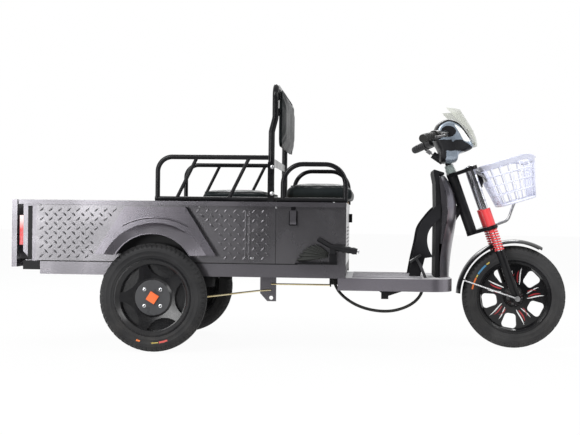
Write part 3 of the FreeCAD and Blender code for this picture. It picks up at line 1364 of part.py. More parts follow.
def rear_wheel(sign):
    """Rim turned to its side, with brake drum, half shaft, bolts and a square cap."""
    rim = rear_rim.copy()
    if sign < 0:
        rim = rim.mirror(Vector(), Vector(0, 1, 0))
    face = disc_offset + wheel_disc + 3
    drum_start = axle_end + 2 - track / 2
    drum = bar((0, drum_start, 0), (0, disc_offset - 10, 0), drum_radius - 6)
    hollow = bar((0, drum_start, 0), (0, drum_start + 24, 0), drum_radius - 12)
    shaft = bar((0, drum_start - spindle_depth * 0.8, 0), (0, face, 0), shaft_radius)
    pieces = [drum.cut(hollow).fuse(shaft).removeSplitter()]
    for index in range(4):
        angle = math.radians(45 + 90 * index)
        x = number(bolt_circle) * math.cos(angle)
        z = number(bolt_circle) * math.sin(angle)
        pieces.append(bar((x, face, z), (x, face + 6, z), bolt_radius))
    half = cap_side / 2
    cap = slab([(-half, -half), (half, -half), (half, half), (-half, half)], face, face + cap_height)
    cap.rotate(Vector(), Vector(0, 1, 0), 32)
    pieces.append(cap)
    if sign < 0:
        pieces = [piece.mirror(Vector(), Vector(0, 1, 0)) for piece in pieces]
    return [rim] + pieces


for side, sign in (("right", -1), ("left", 1)):
    centre = (0, track / 2 * sign, tyre_radius)
    node(feature("rear_tyre_" + side, placed(tyre(tyre_width), *centre)), "rear_tyre_" + side)
    pieces = [feature("RearWheel%s%d" % (side, index), placed(shape, *centre))
              for index, shape in enumerate(rear_wheel(sign))]
    node(group("rear_wheel_" + side, pieces), "rear_wheel_" + side)

# Front wheel
window_inner = size("window_inner", 70, "hub centre to the inner end of a front wheel opening")
window_outer = size("window_outer", 130, "hub centre to the outer end of a front wheel opening")
window_half = size("window_half", 34, "half width of a front wheel opening at its outer end")
window_root = size("window_root", 21, "half width of a front wheel opening at its inner end")
window_round = size("window_round", 15, "corner radius of a front wheel opening")
window_turn = size("window_turn", 45, "angle of the first front wheel opening, in degrees")
front_hub_half = size("front_hub_half", 58, "half length of the front hub")
doc.recompute()


def front_wheel_body():
    wheel = doc.addObject("PartDesign::Body", "FrontRim")
    half = rim_half_width
    seat = half - flange_width - flange_slope
    bead = rim_radius - flange_height
    hub = front_hub_half
    web = wheel_disc / 2
    outline = [(-half, rim_radius), (-half + flange_width, rim_radius), (-seat, bead), (seat, bead),
               (half - flange_width, rim_radius), (half, rim_radius), (half, rim_radius - 6), (half - 6,
                                                                                               rim_radius - 14),
               (web, rim_radius - 20), (web + 4, front_hub_radius + 10), (hub * 0.6, front_hub_radius),
               (hub, front_hub_radius * 0.7), (hub, axle_radius + fit_gap), (-hub, axle_radius + fit_gap),
               (-hub, front_hub_radius * 0.7), (-hub * 0.6, front_hub_radius), (-web - 4,
                                                                                front_hub_radius + 10),
               (-web, rim_radius - 20), (-half + 6, rim_radius - 14), (-half, rim_radius - 6)]
    revolution(wheel, sketch(wheel, "YZ_Plane", outline))
    doc.recompute()
    opening = [(-window_root, window_inner), (window_root, window_inner), (window_half, window_outer),
               (-window_half, window_outer)]
    window = slab(opening, -rim_half_width * 2, rim_half_width * 2)
    corners = [edge for edge in window.Edges if abs(edge.tangentAt(edge.FirstParameter).y) > 0.9]
    window = window.makeFillet(number(window_round), corners)
    windows = []
    for index in range(int(number(pocket_count))):
        turned = window.copy()
        angle = 90 - number(window_turn) - 360 * index / number(pocket_count)
        turned.rotate(Vector(), Vector(0, 1, 0), angle)
        windows.append(turned)
    return wheel.Shape.cut(windows)


front_rim = front_wheel_body()
front_centre = (wheelbase, 0, tyre_radius)
node(feature("front_wheel", placed(front_rim, *front_centre)), "front_wheel")
node(feature("front_tyre", placed(tyre(tyre_width), *front_centre)), "front_tyre")


def on_fork(shape, along):
    """Set a shape, modelled upright with its legs at X zero, on the raked fork."""
    copy = shape.copy()
    copy.rotate(Vector(), Vector(0, 1, 0), -number(rake))
    copy.translate(axis_point(along))
    return copy


def upright(radius, x, y, height):
    return Part.makeCylinder(number(radius), number(height), point(x, y, 0))


def crown():
    """A flat bridge joining the stem to both stanchions."""
    boss = crown_boss
    web = [(-fork_offset, -boss * 0.9), (0, -leg_y - boss * 0.4), (boss, -leg_y), (boss * 0.6, 0), (boss,
                                                                                                    leg_y),
           (0, leg_y + boss * 0.4), (-fork_offset, boss * 0.9)]
    plate = slab(web, 0, crown_thickness, "xy")
    bosses = [upright(boss * 0.95, -fork_offset, 0, crown_thickness)]
    for y in (-leg_y, leg_y):
        bosses.append(upright(boss, 0, y, crown_thickness))
    plate = plate.fuse(bosses).removeSplitter()
    for y in (-leg_y, leg_y):
        plate = plate.cut(upright(stanchion_radius + fit_gap, 0, y, crown_thickness))
    return plate


stem_length = stem_top - lower_crown
stem = on_fork(crown().fuse(upright(stem_radius, -fork_offset, 0, stem_length)).removeSplitter(), lower_crown)
top_crown = crown().cut(upright(stem_radius + fit_gap, -fork_offset, 0, crown_thickness))
node(group("steering_stem", [feature("StemAndLowerCrown", stem),
                             feature("UpperCrown", on_fork(top_crown, upper_crown))]), "steering_stem")

stanchion_length = upper_crown + crown_thickness + 6 - stanchion_foot
stanchions = []
covers = []
legs = []
for side, y in (("Right", -leg_y), ("Left", leg_y)):
    stanchions.append(feature("Stanchion" + side,
                              on_fork(upright(stanchion_radius, 0, y, stanchion_length), stanchion_foot)))
    ring = upright(cover_radius, 0, y, cover_length)
    ring = ring.cut(upright(stanchion_radius + fit_gap, 0, y, cover_length))
    covers.append(feature("Cover" + side, on_fork(ring, lower_crown + crown_thickness)))
    leg_foot = leg_radius + 6
    leg = upright(leg_radius, 0, y, leg_top + leg_foot)
    hole = upright(stanchion_radius + fit_gap, 0, y, leg_bore_depth)
    hole.translate(point(0, 0, leg_top + leg_foot - leg_bore_depth))
    leg = on_fork(leg.cut(hole), -leg_foot)
    leg = leg.cut(bar((wheelbase, y - leg_radius * 2, tyre_radius), (wheelbase, y + leg_radius * 2,
                                                                     tyre_radius),
                      axle_radius + fit_gap))
    legs.append(feature("LowerLeg" + side, leg))
node(group("stanchions", stanchions), "stanchions")
node(group("spring_covers", covers), "spring_covers")
node(group("lower_legs", legs), "lower_legs")


def biarc(start, start_way, end, end_way):
    """Two tangent arcs that leave and arrive in the given directions."""
    span = end - start
    ways = start_way + end_way
    spread = 2 * (1 - start_way.dot(end_way))
    reach = (-span.dot(ways) + math.sqrt(span.dot(ways) ** 2 + spread * span.dot(span))) / spread
    first = start + start_way * reach
    second = end - end_way * reach
    middle = (first + second) * 0.5
    edges = []
    for low, control, high in ((start, first, middle), (middle, second, end)):
        chord = (low + high) * 0.5
        rise = control - chord
        half = (high - low).Length / 2
        bulge = half * math.tan(math.atan2(rise.Length, half) / 2)
        edges.append(Part.Arc(low, chord + rise.normalize() * bulge, high).toShape())
    return edges


SPRING_GAPS = []


def coil_spring(y):
    """One unbroken wire wound round a stanchion, between the lower leg and the lower crown."""
    turns = int(number(spring_turns))
    wire = number(spring_wire)
    radius = number(spring_radius)
    length = number(lower_crown - leg_top - seat_gap * 2) - wire
    pitch = length / turns
    steps = turns * 2
    places = []
    ways = []
    for index in range(steps + 1):
        angle = math.pi * index
        places.append(Vector(radius * math.cos(angle), number(y) + radius * math.sin(angle),
                             pitch * index / 2))
        way = Vector(-radius * math.sin(angle), radius * math.cos(angle), pitch / (2 * math.pi))
        ways.append(way.normalize())
    edges = []
    for index in range(steps):
        edges += biarc(places[index], ways[index], places[index + 1], ways[index + 1])
    path = Part.Wire(edges)
    section = Part.Wire(Part.Circle(places[0], ways[0], wire / 2).toShape())
    SPRING_GAPS.append(pitch - wire)
    coil = path.makePipeShell([section], True, False)
    return on_fork(coil, number(leg_top + seat_gap) + wire / 2)


node(group("fork_springs", [feature("ForkSpringRight", coil_spring(-leg_y)),
                            feature("ForkSpringLeft", coil_spring(leg_y))]), "fork_springs")
print("least gap between spring turns:", round(min(SPRING_GAPS), 2))


def fender():
    """A crowned mudguard turned about the front axle, with a tab to each lower leg."""
    half = number(fender_half_width)
    outer = number(fender_radius)
    edge = outer - number(fender_edge)
    sheet_depth = number(fender_sheet)
    inner_half = half - sheet_depth
    lines = [
        Part.Arc(Vector(0, -half, edge), Vector(0, 0, outer), Vector(0, half, edge)).toShape(),
        Part.LineSegment(Vector(0, half, edge), Vector(0, inner_half, edge - sheet_depth / 2)).toShape(),
        Part.Arc(Vector(0, inner_half, edge - sheet_depth / 2), Vector(0, 0, outer - sheet_depth),
                 Vector(0, -inner_half, edge - sheet_depth / 2)).toShape(),
        Part.LineSegment(Vector(0, -inner_half, edge - sheet_depth / 2), Vector(0, -half, edge)).toShape(),
    ]
    section = Part.Face(Part.Wire(lines))
    section.rotate(Vector(), Vector(0, 1, 0), -number(fender_back))
    guard = section.revolve(Vector(), Vector(0, 1, 0), number(fender_back) + number(fender_ahead))
    guard = placed(guard, *front_centre)
    tabs = []
    for sign in (-1, 1):
        reach = leg_y - leg_radius - seat_gap
        low, high = sorted(((fender_half_width - 4) * sign, reach * sign), key=number)
        foot = block((-10, low, 0), (10, high, 4))
        near, far = sorted(((fender_half_width - 4) * sign, (fender_half_width + 1) * sign), key=number)
        rise = block((-10, near, 0), (10, far, edge - number(leg_top) + 26))
        tabs.append(on_fork(foot.fuse(rise).removeSplitter(), leg_top - 20))
    return guard.fuse(tabs).removeSplitter()


node(feature("front_fender", fender()), "front_fender")

# Front axle with its nuts, and the stays from the axle to the fender
axle_half = leg_y + leg_radius + 20
stay_y = leg_y + leg_radius + 8
axle_shapes = [bar((wheelbase, -axle_half, tyre_radius), (wheelbase, axle_half, tyre_radius), axle_radius)]
for sign in (-1, 1):
    axle_shapes.append(bar((wheelbase, (axle_half - 6) * sign, tyre_radius), (wheelbase, axle_half * sign,
                                                                              tyre_radius),
                           axle_radius * 1.8))
    stay_end = (wheelbase - (fender_radius - 22) * 0.955, (fender_half_width - 1) * sign,
                tyre_radius + (fender_radius - 22) * 0.31)
    axle_shapes.append(bar((wheelbase, stay_y * sign, tyre_radius), stay_end, stay_radius))
axle_whole = axle_shapes[0].fuse(axle_shapes[1:]).removeSplitter()
node(feature("front_axle", axle_whole), "front_axle")

# Handlebar: one swept tube with a clamp block on the top of the stem
clamp_half = size("clamp_half", 22, "half width of the handlebar clamp")
clamp_back = size("clamp_back", 32, "handlebar back to the rear of its clamp")
clamp_rise = size("clamp_rise", 14, "handlebar to the top and the bottom of its clamp")
bar_bend = size("bar_bend", 60, "bend radius of the handlebar")
doc.recompute()
bar_corner = (bar_x, -bar_straight, bar_z)
bar_end = (bar_x - bar_sweep, -bar_half_width, bar_z - bar_drop)


def bar_route():
    left_corner = (bar_x, bar_straight, bar_z)
    left_end = (bar_x - bar_sweep, bar_half_width, bar_z - bar_drop)
    return [bar_end, bar_corner, left_corner, left_end]


stem_crest = axis_point(stem_top, fork_offset).z + number(stem_radius) * math.sin(math.radians(number(rake)))
clamp = block((bar_x - clamp_back, -clamp_half, stem_crest), (bar_x + clamp_rise, clamp_half,
                                                              bar_z + clamp_rise))
node(feature("handlebar", tube(bar_route(), bar_radius, bar_bend).fuse(clamp).removeSplitter()), "handlebar")

# Cowl: a hollow pod lofted across the handlebar from one side outline
COWL_OUTLINE = ((1152, 947), (1114, 925), (1102, 890), (1104, 850), (1122, 812), (1130, 768), (1192, 768),
                (1206, 800), (1236, 814), (1262, 828), (1259, 851), (1219, 913), (1190, 938))
COWL_CENTRE = (1178, 860)
COWL_SECTIONS = ((-1.0, 0.72), (-0.68, 0.94), (0.0, 1.0), (0.68, 0.94), (1.0, 0.72))


def cowl_solid(half, scale):
    wires = []
    for place, shrink in COWL_SECTIONS:
        corners = []
        for x, z in COWL_OUTLINE:
            corners.append(Vector(COWL_CENTRE[0] + (x - COWL_CENTRE[0]) * shrink * scale, half * place,
                                  COWL_CENTRE[1] + (z - COWL_CENTRE[1]) * shrink * scale))
        wires.append(Part.makePolygon(corners + corners[:1]))
    return Part.makeLoft(wires, True, True)


cowl_scale = 1 - number(cowl_wall) / 60
cowl_outside = cowl_solid(number(cowl_half_width), 1.0)
stem_opening = Part.makeCylinder(number(stem_radius) + 3, number(stem_top - upper_crown),
                                 axis_point(upper_crown, fork_offset), UP_FORK)
cowl_shell = cowl_outside.cut(cowl_solid(number(cowl_half_width - cowl_wall), cowl_scale))
cowl_shell = cowl_shell.cut(stem_opening).cut(tube(bar_route(), bar_radius + seat_gap, bar_bend))
node(feature("cowl", cowl_shell), "cowl")

# Headlamp lens: a thick plate lying on the front slope of the cowl
lens_depth = size("lens_depth", 7, "thickness of the headlamp lens")
lens_half = size("lens_half", 52, "half width of the headlamp lens")
doc.recompute()


def headlamp():
    lift = number(lens_depth)
    (low_x, low_z), (high_x, high_z) = COWL_OUTLINE[10], COWL_OUTLINE[11]
    length = math.hypot(high_x - low_x, high_z - low_z)
    out_x = (high_z - low_z) / length
    out_z = (low_x - high_x) / length
    outline = [(low_x - out_x * lift, low_z - out_z * lift), (low_x + out_x * lift, low_z + out_z * lift),
               (high_x + out_x * lift, high_z + out_z * lift), (high_x - out_x * lift, high_z - out_z * lift)]
    return slab(outline, -lens_half, lens_half).cut(cowl_outside)


node(feature("headlamp_lens", headlamp()), "headlamp_lens")

# Windscreen: a bowed sheet given as height, front, ends and half width
SCREEN = (
    (836, 1284, 1272, 66),
    (900, 1266, 1236, 98),
    (944, 1240, 1190, 110),
    (986, 1214, 1148, 112),
)


def screen_section(height, front, end, half):
    depth = number(screen_sheet)
    outer = Part.Arc(Vector(end, -half, height), Vector(front, 0, height), Vector(end, half, height))
    inner = Part.Arc(Vector(end - depth, half, height), Vector(front - depth, 0, height),
                     Vector(end - depth, -half, height))
    return Part.Wire([
        outer.toShape(),
        Part.LineSegment(Vector(end, half, height), Vector(end - depth, half, height)).toShape(),
        inner.toShape(),
        Part.LineSegment(Vector(end - depth, -half, height), Vector(end, -half, height)).toShape(),
    ])


screen_shape = Part.makeLoft([screen_section(*row) for row in SCREEN], True, False)
SCREEN_FIXINGS = ((1258, 846), (1226, 900))
screen_posts = []
for x, z in SCREEN_FIXINGS:
    for y in (-30, 30):
        screen_posts.append(bar((x - 14, y, z), (x + 50, y, z), stay_radius))
screen_lens = headlamp()
front_of_screen = Part.makeLoft([Part.makePolygon([Vector(front - 1.5, -200, height), Vector(front + 200,
                                                                                             -200, height),
                                                   Vector(front + 200, 200, height), Vector(front - 1.5,
                                                                                            200, height),
                                                   Vector(front - 1.5, -200, height)])
                                 for height, front, end, half in SCREEN], True, True)
fixed_screen = screen_shape.fuse([post.cut(front_of_screen) for post in screen_posts]).removeSplitter()
node(feature("windscreen", fixed_screen.cut(cowl_outside).cut(screen_lens)), "windscreen")

# Ribbed rubber bellows round the stem, under the cowl
bellows_groove = size("bellows_groove", 19, "radius of the bellows between its ribs")
bellows_base = size("bellows_base", 569, "front axle up the fork to the bellows")
doc.recompute()


def bellows():
    """Ruled rings through four circles per rib, bored for the stem."""
    count = int(number(bellows_ribs))
    pitch = number(bellows_length) / count
    circles = []
    for index in range(count):
        for part, radius in ((0.05, bellows_groove), (0.35, bellows_radius), (0.65, bellows_radius),
                             (0.95, bellows_groove)):
            circle = Part.Circle(Vector(0, 0, pitch * (index + part)), Vector(0, 0, 1), number(radius))
            circle.XAxis = Vector(1, 0, 0)
            circles.append(Part.Wire(circle.toShape()))
    rings = Part.makeLoft(circles, True, True)
    rings = rings.cut(Part.makeCylinder(number(stem_radius + fit_gap), number(bellows_length)))
    rings.translate(Vector(-number(fork_offset), 0, 0))
    return on_fork(rings, bellows_base)


node(feature("bellows", bellows()), "bellows")

# Switch housings with their lever perches, the left grip and the ignition lock
along_bar = (point(*bar_end) - point(*bar_corner)).normalize()
bar_run = (point(*bar_end) - point(*bar_corner)).Length
ahead_of_bar = along_bar.cross(Vector(0, 0, -1)).normalize()
above_bar = ahead_of_bar.cross(along_bar * -1)
BAR_FRAME = FreeCAD.Placement(point(*bar_corner), FreeCAD.Rotation(ahead_of_bar, along_bar * -1, above_bar,
                                                                   "XYZ"))
housing_start = size("housing_start", 92, "handlebar bend out to a switch housing")
housing_length = size("housing_length", 42, "length of a switch housing")
housing_radius = size("housing_radius", 19, "radius of a switch housing")
perch_x = size("perch_x", 36, "handlebar forward to a lever pivot")
perch_y = size("perch_y", 112, "handlebar bend out to a lever pivot")
perch_pin = size("perch_pin", 3, "radius of a lever pivot pin")
perch_eye = size("perch_eye", 8, "outer radius of a lever eye")
perch_half = size("perch_half", 5, "half height of a lever eye")
perch_plate = size("perch_plate", 3, "thickness of a perch plate")
hand_reach = size("hand_reach", 123, "lever pivot out to the lever tip")
hand_gap = size("hand_gap", 46, "handlebar forward to the lever blade")
doc.recompute()


def on_bar(shape, mirror):
    """Set a shape on the swept right end of the handlebar, or on the left end by mirroring it."""
    copy = shape.copy()
    copy.Placement = BAR_FRAME.multiply(copy.Placement)
    if mirror:
        return copy.mirror(Vector(), Vector(0, 1, 0))
    return copy


def housing():
    far = housing_start + housing_length
    drum = bar((0, -far, 0), (0, -housing_start, 0), housing_radius)
    top = perch_half + seat_gap
    outside = block((0, -perch_y - perch_eye * 1.5, -top - perch_plate),
                    (perch_x + perch_eye, -perch_y + perch_eye * 1.5, top + perch_plate))
    opening = block((perch_x - perch_eye * 1.3, -perch_y - perch_eye * 2, -top),
                    (perch_x + perch_eye * 2, -perch_y + perch_eye * 2, top))
    pin = bar((perch_x, -perch_y, -top - perch_plate), (perch_x, -perch_y, top + perch_plate), perch_pin)
    whole = drum.fuse(outside.cut(opening)).fuse(pin).removeSplitter()
    return whole.cut(bar((0, -far, 0), (0, -housing_start, 0), bar_radius + fit_gap))


def hand_lever():
    """A round lever blade with an eye at its pivot and a ball at its tip."""
    tip = (hand_gap, -perch_y - hand_reach, 0)
    blade = tube([(perch_x, -perch_y, 0), (hand_gap, -perch_y - hand_reach * 0.3, 0), tip], perch_half,
                 perch_half * 4)
    ball = Part.makeSphere(number(perch_half) * 1.5, point(*tip))
    eye = bar((perch_x, -perch_y, -perch_half), (perch_x, -perch_y, perch_half), perch_eye)
    hole = bar((perch_x, -perch_y, -perch_half * 2), (perch_x, -perch_y, perch_half * 2), perch_pin + fit_gap)
    return blade.fuse([ball, eye]).removeSplitter().cut(hole)


def grip():
    """A ribbed grip with a flange at its inner end, closed over the end of the handlebar."""
    start = bar_run - number(grip_length)
    cap = number(seat_gap) + 3
    shapes = [bar((0, -bar_run - cap, 0), (0, -start, 0), grip_radius),
              bar((0, -start - 5, 0), (0, -start, 0), grip_radius + 5)]
    for index in range(5):
        place = start + 22 + index * 18
        shapes.append(bar((0, -place - 6, 0), (0, -place, 0), grip_radius + 1))
    whole = shapes[0].fuse(shapes[1:]).removeSplitter()
    return whole.cut(bar((0, -bar_run - seat_gap, 0), (0, -start, 0), bar_radius + fit_gap))


lock_radius = size("lock_radius", 15, "radius of the ignition lock")
lock_length = size("lock_length", 52, "length of the ignition lock")
key_radius = size("key_radius", 3, "radius of the key shank")
key_depth = size("key_depth", 20, "depth of the key in the lock")
key_show = size("key_show", 8, "key shank showing outside the lock")
key_head = size("key_head", 22, "length of the key head")
key_width = size("key_width", 16, "width of the key head")
key_sheet = size("key_sheet", 3, "thickness of the key head")
lock_x = size("lock_x", 1143, "rear axle forward to the root of the ignition lock")
lock_z = size("lock_z", 772, "ground to the root of the ignition lock")
lock_rise = size("lock_rise", 34, "upward angle of the ignition lock, in degrees")
doc.recompute()
LOCK_AXIS = Vector(-math.cos(math.radians(number(lock_rise))), 0, math.sin(math.radians(number(lock_rise))))
lock_root = point(lock_x, 0, lock_z)
lock_face = lock_root + LOCK_AXIS * number(lock_length)
lock = Part.makeCylinder(number(lock_radius), number(lock_length), lock_root, LOCK_AXIS)
lock = lock.cut(Part.makeCylinder(number(key_radius + fit_gap), number(key_depth), lock_face, LOCK_AXIS * -1))
lock = lock.cut(cowl_outside)
lock_solids = sorted(lock.Solids, key=lambda solid: solid.Volume)
node(group("controls", [
    feature("SwitchRight", on_bar(housing(), False)),
    feature("SwitchLeft", on_bar(housing(), True)),
    feature("GripLeft", on_bar(grip(), True)),
    feature("IgnitionLock", lock_solids[-1]),
]), "controls")
node(feature("throttle_grip", on_bar(grip(), False)), "throttle_grip")
node(feature("brake_lever_right", on_bar(hand_lever(), False)), "brake_lever_right")
node(feature("brake_lever_left", on_bar(hand_lever(), True)), "brake_lever_left")


def key():
    depth = number(key_depth - seat_gap)
    shank = Part.makeCylinder(number(key_radius), depth + number(key_show), Vector(-depth, 0, 0), Vector(1,
                                                                                                         0,
                                                                                                         0))
    head = block((key_show, -key_sheet / 2, -key_width / 2), (key_show + key_head, key_sheet / 2,
                                                              key_width / 2))
    whole = shank.fuse(head).removeSplitter()
    whole.rotate(Vector(), Vector(0, 1, 0), -(180 - number(lock_rise)))
    whole.translate(lock_face)
    return whole


node(feature("key", key()), "key")

# Horn on a strap under the upper crown
horn_place = size("horn_place", 505, "front axle up the fork to the horn")
horn_radius = size("horn_radius", 33, "radius of the horn")
horn_back = size("horn_back", 12, "fork legs forward to the back of the horn")
horn_depth = size("horn_depth", 26, "depth of the horn")
horn_strap = size("horn_strap", 4, "thickness of the horn strap")
doc.recompute()


def horn():
    rim = Part.makeCylinder(number(horn_radius), number(horn_depth) * 0.6, point(horn_back, 0, 0), Vector(1,
                                                                                                          0,
                                                                                                          0))
    nose = Part.makeCone(number(horn_radius) * 0.8, number(horn_radius) * 0.5, number(horn_depth) * 0.4,
                         point(horn_back + horn_depth * 0.6, 0, 0), Vector(1, 0, 0))
    strap = block((horn_back - horn_strap, -horn_radius / 4, -horn_radius / 2),
                  (horn_back, horn_radius / 4, upper_crown - horn_place))
    return on_fork(rim.fuse([nose, strap]).removeSplitter(), horn_place)


node(feature("horn", horn()), "horn")

# Basket: a tapered tub with round corners, a rim flange and a grid of openings
basket_floor = size("basket_floor", 4, "thickness of the basket floor")
side_columns = size("side_columns", 5, "openings along a side of the basket")
front_columns = size("front_columns", 9, "openings along the front of the basket")
basket_rows = size("basket_rows", 4, "rows of openings in the basket walls")
side_pitch = size("side_pitch", 26, "distance between the openings of a side")
front_pitch = size("front_pitch", 30, "distance between the openings of the front")
row_pitch = size("row_pitch", 36, "distance between the rows of openings")
row_start = size("row_start", 18, "basket floor to the first row of openings")
basket_dip = size("basket_dip", 26, "how far the front rim dips in the middle")
doc.recompute()


def basket_section(inset, height):
    """A level outline of the tub, drawn in from its outer wall."""
    share = height / number(basket_height)
    lean = number(basket_taper) * (1 - share) + inset
    deep = number(basket_depth) / 2 - lean
    wide = number(basket_half_width) - lean
    return rounded_rectangle(-deep, deep, -wide, wide, number(basket_corner) - inset, height)


def tub(inset, low, high):
    return Part.makeLoft([basket_section(inset, low), basket_section(inset, high)], True, True)


def grid(columns, pitch, gap):
    """Middles of a row of openings and half the width of one."""
    count = int(number(columns))
    middles = [number(pitch) * (index - (count - 1) / 2) for index in range(count)]
    return middles, (number(pitch) - number(gap)) / 2


def basket_openings():
    far = number(basket_half_width) * 2
    rows = [number(row_start) + number(row_pitch) * index for index in range(int(number(basket_rows)))]
    tall = number(row_pitch) - number(basket_bar)
    tools = []
    for low in rows:
        middles, half = grid(side_columns, side_pitch, basket_bar)
        for x in middles:
            tools.append(block((x - half, -far, low), (x + half, far, low + tall)))
        middles, half = grid(front_columns, front_pitch, basket_bar)
        for y in middles:
            tools.append(block((-far, y - half, low), (far, y + half, low + tall)))
    middles, half = grid(front_columns, front_pitch, basket_bar)
    rows, deep = grid(3, row_pitch, basket_bar)
    for x in rows:
        for y in middles[1::2]:
            tools.append(block((x - deep, y - half, -far), (x + deep, y + half, basket_floor * 2)))
    return Part.Compound(tools)


def basket_placed(shape):
    copy = shape.copy()
    copy.rotate(Vector(), Vector(0, 1, 0), -number(basket_tilt))
    copy.translate(point(basket_x, 0, basket_z))
    return copy


def basket():
    height = number(basket_height)
    lip = number(basket_lip)
    whole = tub(0.0, 0.0, height).fuse(tub(-lip, height - number(basket_wall) * 2, height)).removeSplitter()
    whole = whole.cut(tub(number(basket_wall), number(basket_floor), height))
    whole = whole.cut(basket_openings())
    dip = [(number(basket_half_width) * 0.62, height), (number(basket_half_width) * 0.4,
                                                        height - number(basket_dip)),
           (-number(basket_half_width) * 0.4, height - number(basket_dip)),
           (-number(basket_half_width) * 0.62, height)]
    corners = [Vector(number(basket_depth) * 0.3, y, z) for y, z in dip]
    notch = Part.Face(Part.makePolygon(corners + corners[:1])).extrude(Vector(number(basket_depth), 0, 0))
    return basket_placed(whole.cut(notch))


node(feature("basket", basket()), "basket")

# Basket stays: a plate on its rear wall with two arms to the upper crown, and a rod under its floor
plate_low = size("plate_low", 112, "basket floor up to the plate on its rear wall")
plate_high = size("plate_high", 152, "basket floor up to the top of that plate")
plate_sheet = size("plate_sheet", 4, "thickness of that plate")
arm_y = size("arm_y", 52, "centre plane to an arm of the basket stay")
arm_radius = size("arm_radius", 6, "radius of the arms and the rod of the basket stay")
doc.recompute()


def rear_wall(height):
    """The rear wall of the basket at a height, before the basket is tilted."""
    share = number(height) / number(basket_height)
    return -number(basket_depth) / 2 + number(basket_taper) * (1 - share)


def basket_stay():
    low = number(plate_low)
    high = number(plate_high)
    back = number(plate_sheet)
    outline = [(rear_wall(low), low), (rear_wall(high), high), (rear_wall(high) - back, high),
               (rear_wall(low) - back, low)]
    plate = basket_placed(slab(outline, -arm_y - arm_radius * 1.5, arm_y + arm_radius * 1.5))
    middle = (low + high) / 2
    target = basket_placed(Part.Vertex(rear_wall(middle) - back / 2, 0, middle)).Point
    start = axis_point(upper_crown + crown_thickness / 2)
    pieces = [plate]
    for y in (-arm_y, arm_y):
        pieces.append(bar((start.x, y, start.z), (target.x, y, target.z), arm_radius))
    upper = pieces[0].fuse(pieces[1:]).removeSplitter().cut(on_fork(crown(), upper_crown))
    upper = upper.cut(basket_placed(tub(0.0, 0.0, number(basket_height))))
    base = axis_point(lower_crown + crown_thickness / 2)
    lower = tube([(base.x, 0, base.z), (base.x + 76, 0, base.z + 30), (basket_x, 0,
                                                                       basket_z + basket_floor / 2)],
                 arm_radius, 30)
    lower = lower.cut(on_fork(crown(), lower_crown)).cut(basket_placed(tub(0.0, 0.0, number(basket_height))))
    return [sorted(shape.Solids, key=lambda solid: solid.Volume)[-1] for shape in (upper, lower)]


node(group("basket_stay", [feature("BasketStay%d" % index, shape) for index,
                           shape in enumerate(basket_stay())]),
     "basket_stay")

# Fittings on the box: parking brake base, draw latch base and strike, charging socket and hose glands
base_rear = size("base_rear", 553, "rear axle forward to the parking brake base")
base_front = size("base_front", 716, "rear axle forward to the front of that base")
base_width = size("base_width", 46, "width of the parking brake base")
base_sheet = size("base_sheet", 5, "thickness of the parking brake base")
lever_pin = size("lever_pin", 5, "radius of the parking brake pin")
lever_eye = size("lever_eye", 11, "radius of the eye on the parking brake lever")
lever_half = size("lever_half", 5, "half width of that eye")
cheek_sheet = size("cheek_sheet", 4, "thickness of a cheek beside the eye")
latch_rear = size("latch_rear", 525, "rear axle forward to the draw latch")
latch_width = size("latch_width", 33, "width of the draw latch base")
latch_low = size("latch_low", 500, "ground to the draw latch base")
latch_high = size("latch_high", 556, "ground to the top of the draw latch base")
latch_sheet = size("latch_sheet", 6, "thickness of the draw latch base")
latch_pin_z = size("latch_pin_z", 508, "ground to the draw latch pin")
latch_stand = size("latch_stand", 11, "side wall out to the draw latch pin")
latch_pin = size("latch_pin", 2.5, "radius of the draw latch pin")
latch_eye = size("latch_eye", 4.5, "radius of the eye on the draw latch")
ear_sheet = size("ear_sheet", 4, "thickness of an ear of the draw latch base")
socket_y = size("socket_y", 250, "centre plane to the charging socket")
socket_z = size("socket_z", 531, "ground to the charging socket")
socket_half = size("socket_half", 19, "half size of the charging socket")
socket_depth = size("socket_depth", 14, "depth of the charging socket")
hose_y = size("hose_y", 185, "centre plane to the wiring hose")
gland_radius = size("gland_radius", 9, "radius of a hose gland")
doc.recompute()
HOSE_ROUTE = ((698, 316), (698, 286), (706, 256), (725, 227), (757, 200), (797, 178), (843, 164), (890, 158),
              (934, 160), (972, 170), (1005, 185), (1031, 205), (1049, 230), (1056, 257), (1056, 284))
GLAND_LENGTH = 14
ROD_LUG_X = 684
ROD_Z = 262
base_top = box_bottom + wall + base_sheet
rod_y = bracket_y + bracket_sheet / 2 + stay_radius


def brake_base():
    outer = box_half_width + base_width
    plate = block((base_rear, -outer, base_top - base_sheet), (base_front, -box_half_width, base_top))
    shapes = []
    inner = lever_half + seat_gap
    for start in (-lever_y - inner - cheek_sheet, -lever_y + inner):
        shapes.append(block((lever_pivot_x - lever_eye - 3, start, base_top),
                            (lever_pivot_x + lever_eye + 3, start + cheek_sheet, lever_pivot_z + lever_eye)))
    pin_end = inner + cheek_sheet
    pin = bar((lever_pivot_x, -lever_y - pin_end, lever_pivot_z), (lever_pivot_x, -lever_y + pin_end,
                                                                   lever_pivot_z),
              lever_pin)
    return plate.fuse(shapes + [pin]).removeSplitter()


def latch_base():
    front = latch_rear + latch_width
    face = -box_half_width - latch_sheet
    plate = block((latch_rear, face, latch_low), (front, -box_half_width, latch_high))
    pin_y = -box_half_width - latch_stand
    shapes = []
    for start in (latch_rear, front - ear_sheet):
        shapes.append(block((start, pin_y - latch_eye, latch_pin_z - latch_eye),
                            (start + ear_sheet, face, latch_pin_z + latch_eye)))
    pin = bar((latch_rear, pin_y, latch_pin_z), (front, pin_y, latch_pin_z), latch_pin)
    return plate.fuse(shapes + [pin]).removeSplitter()


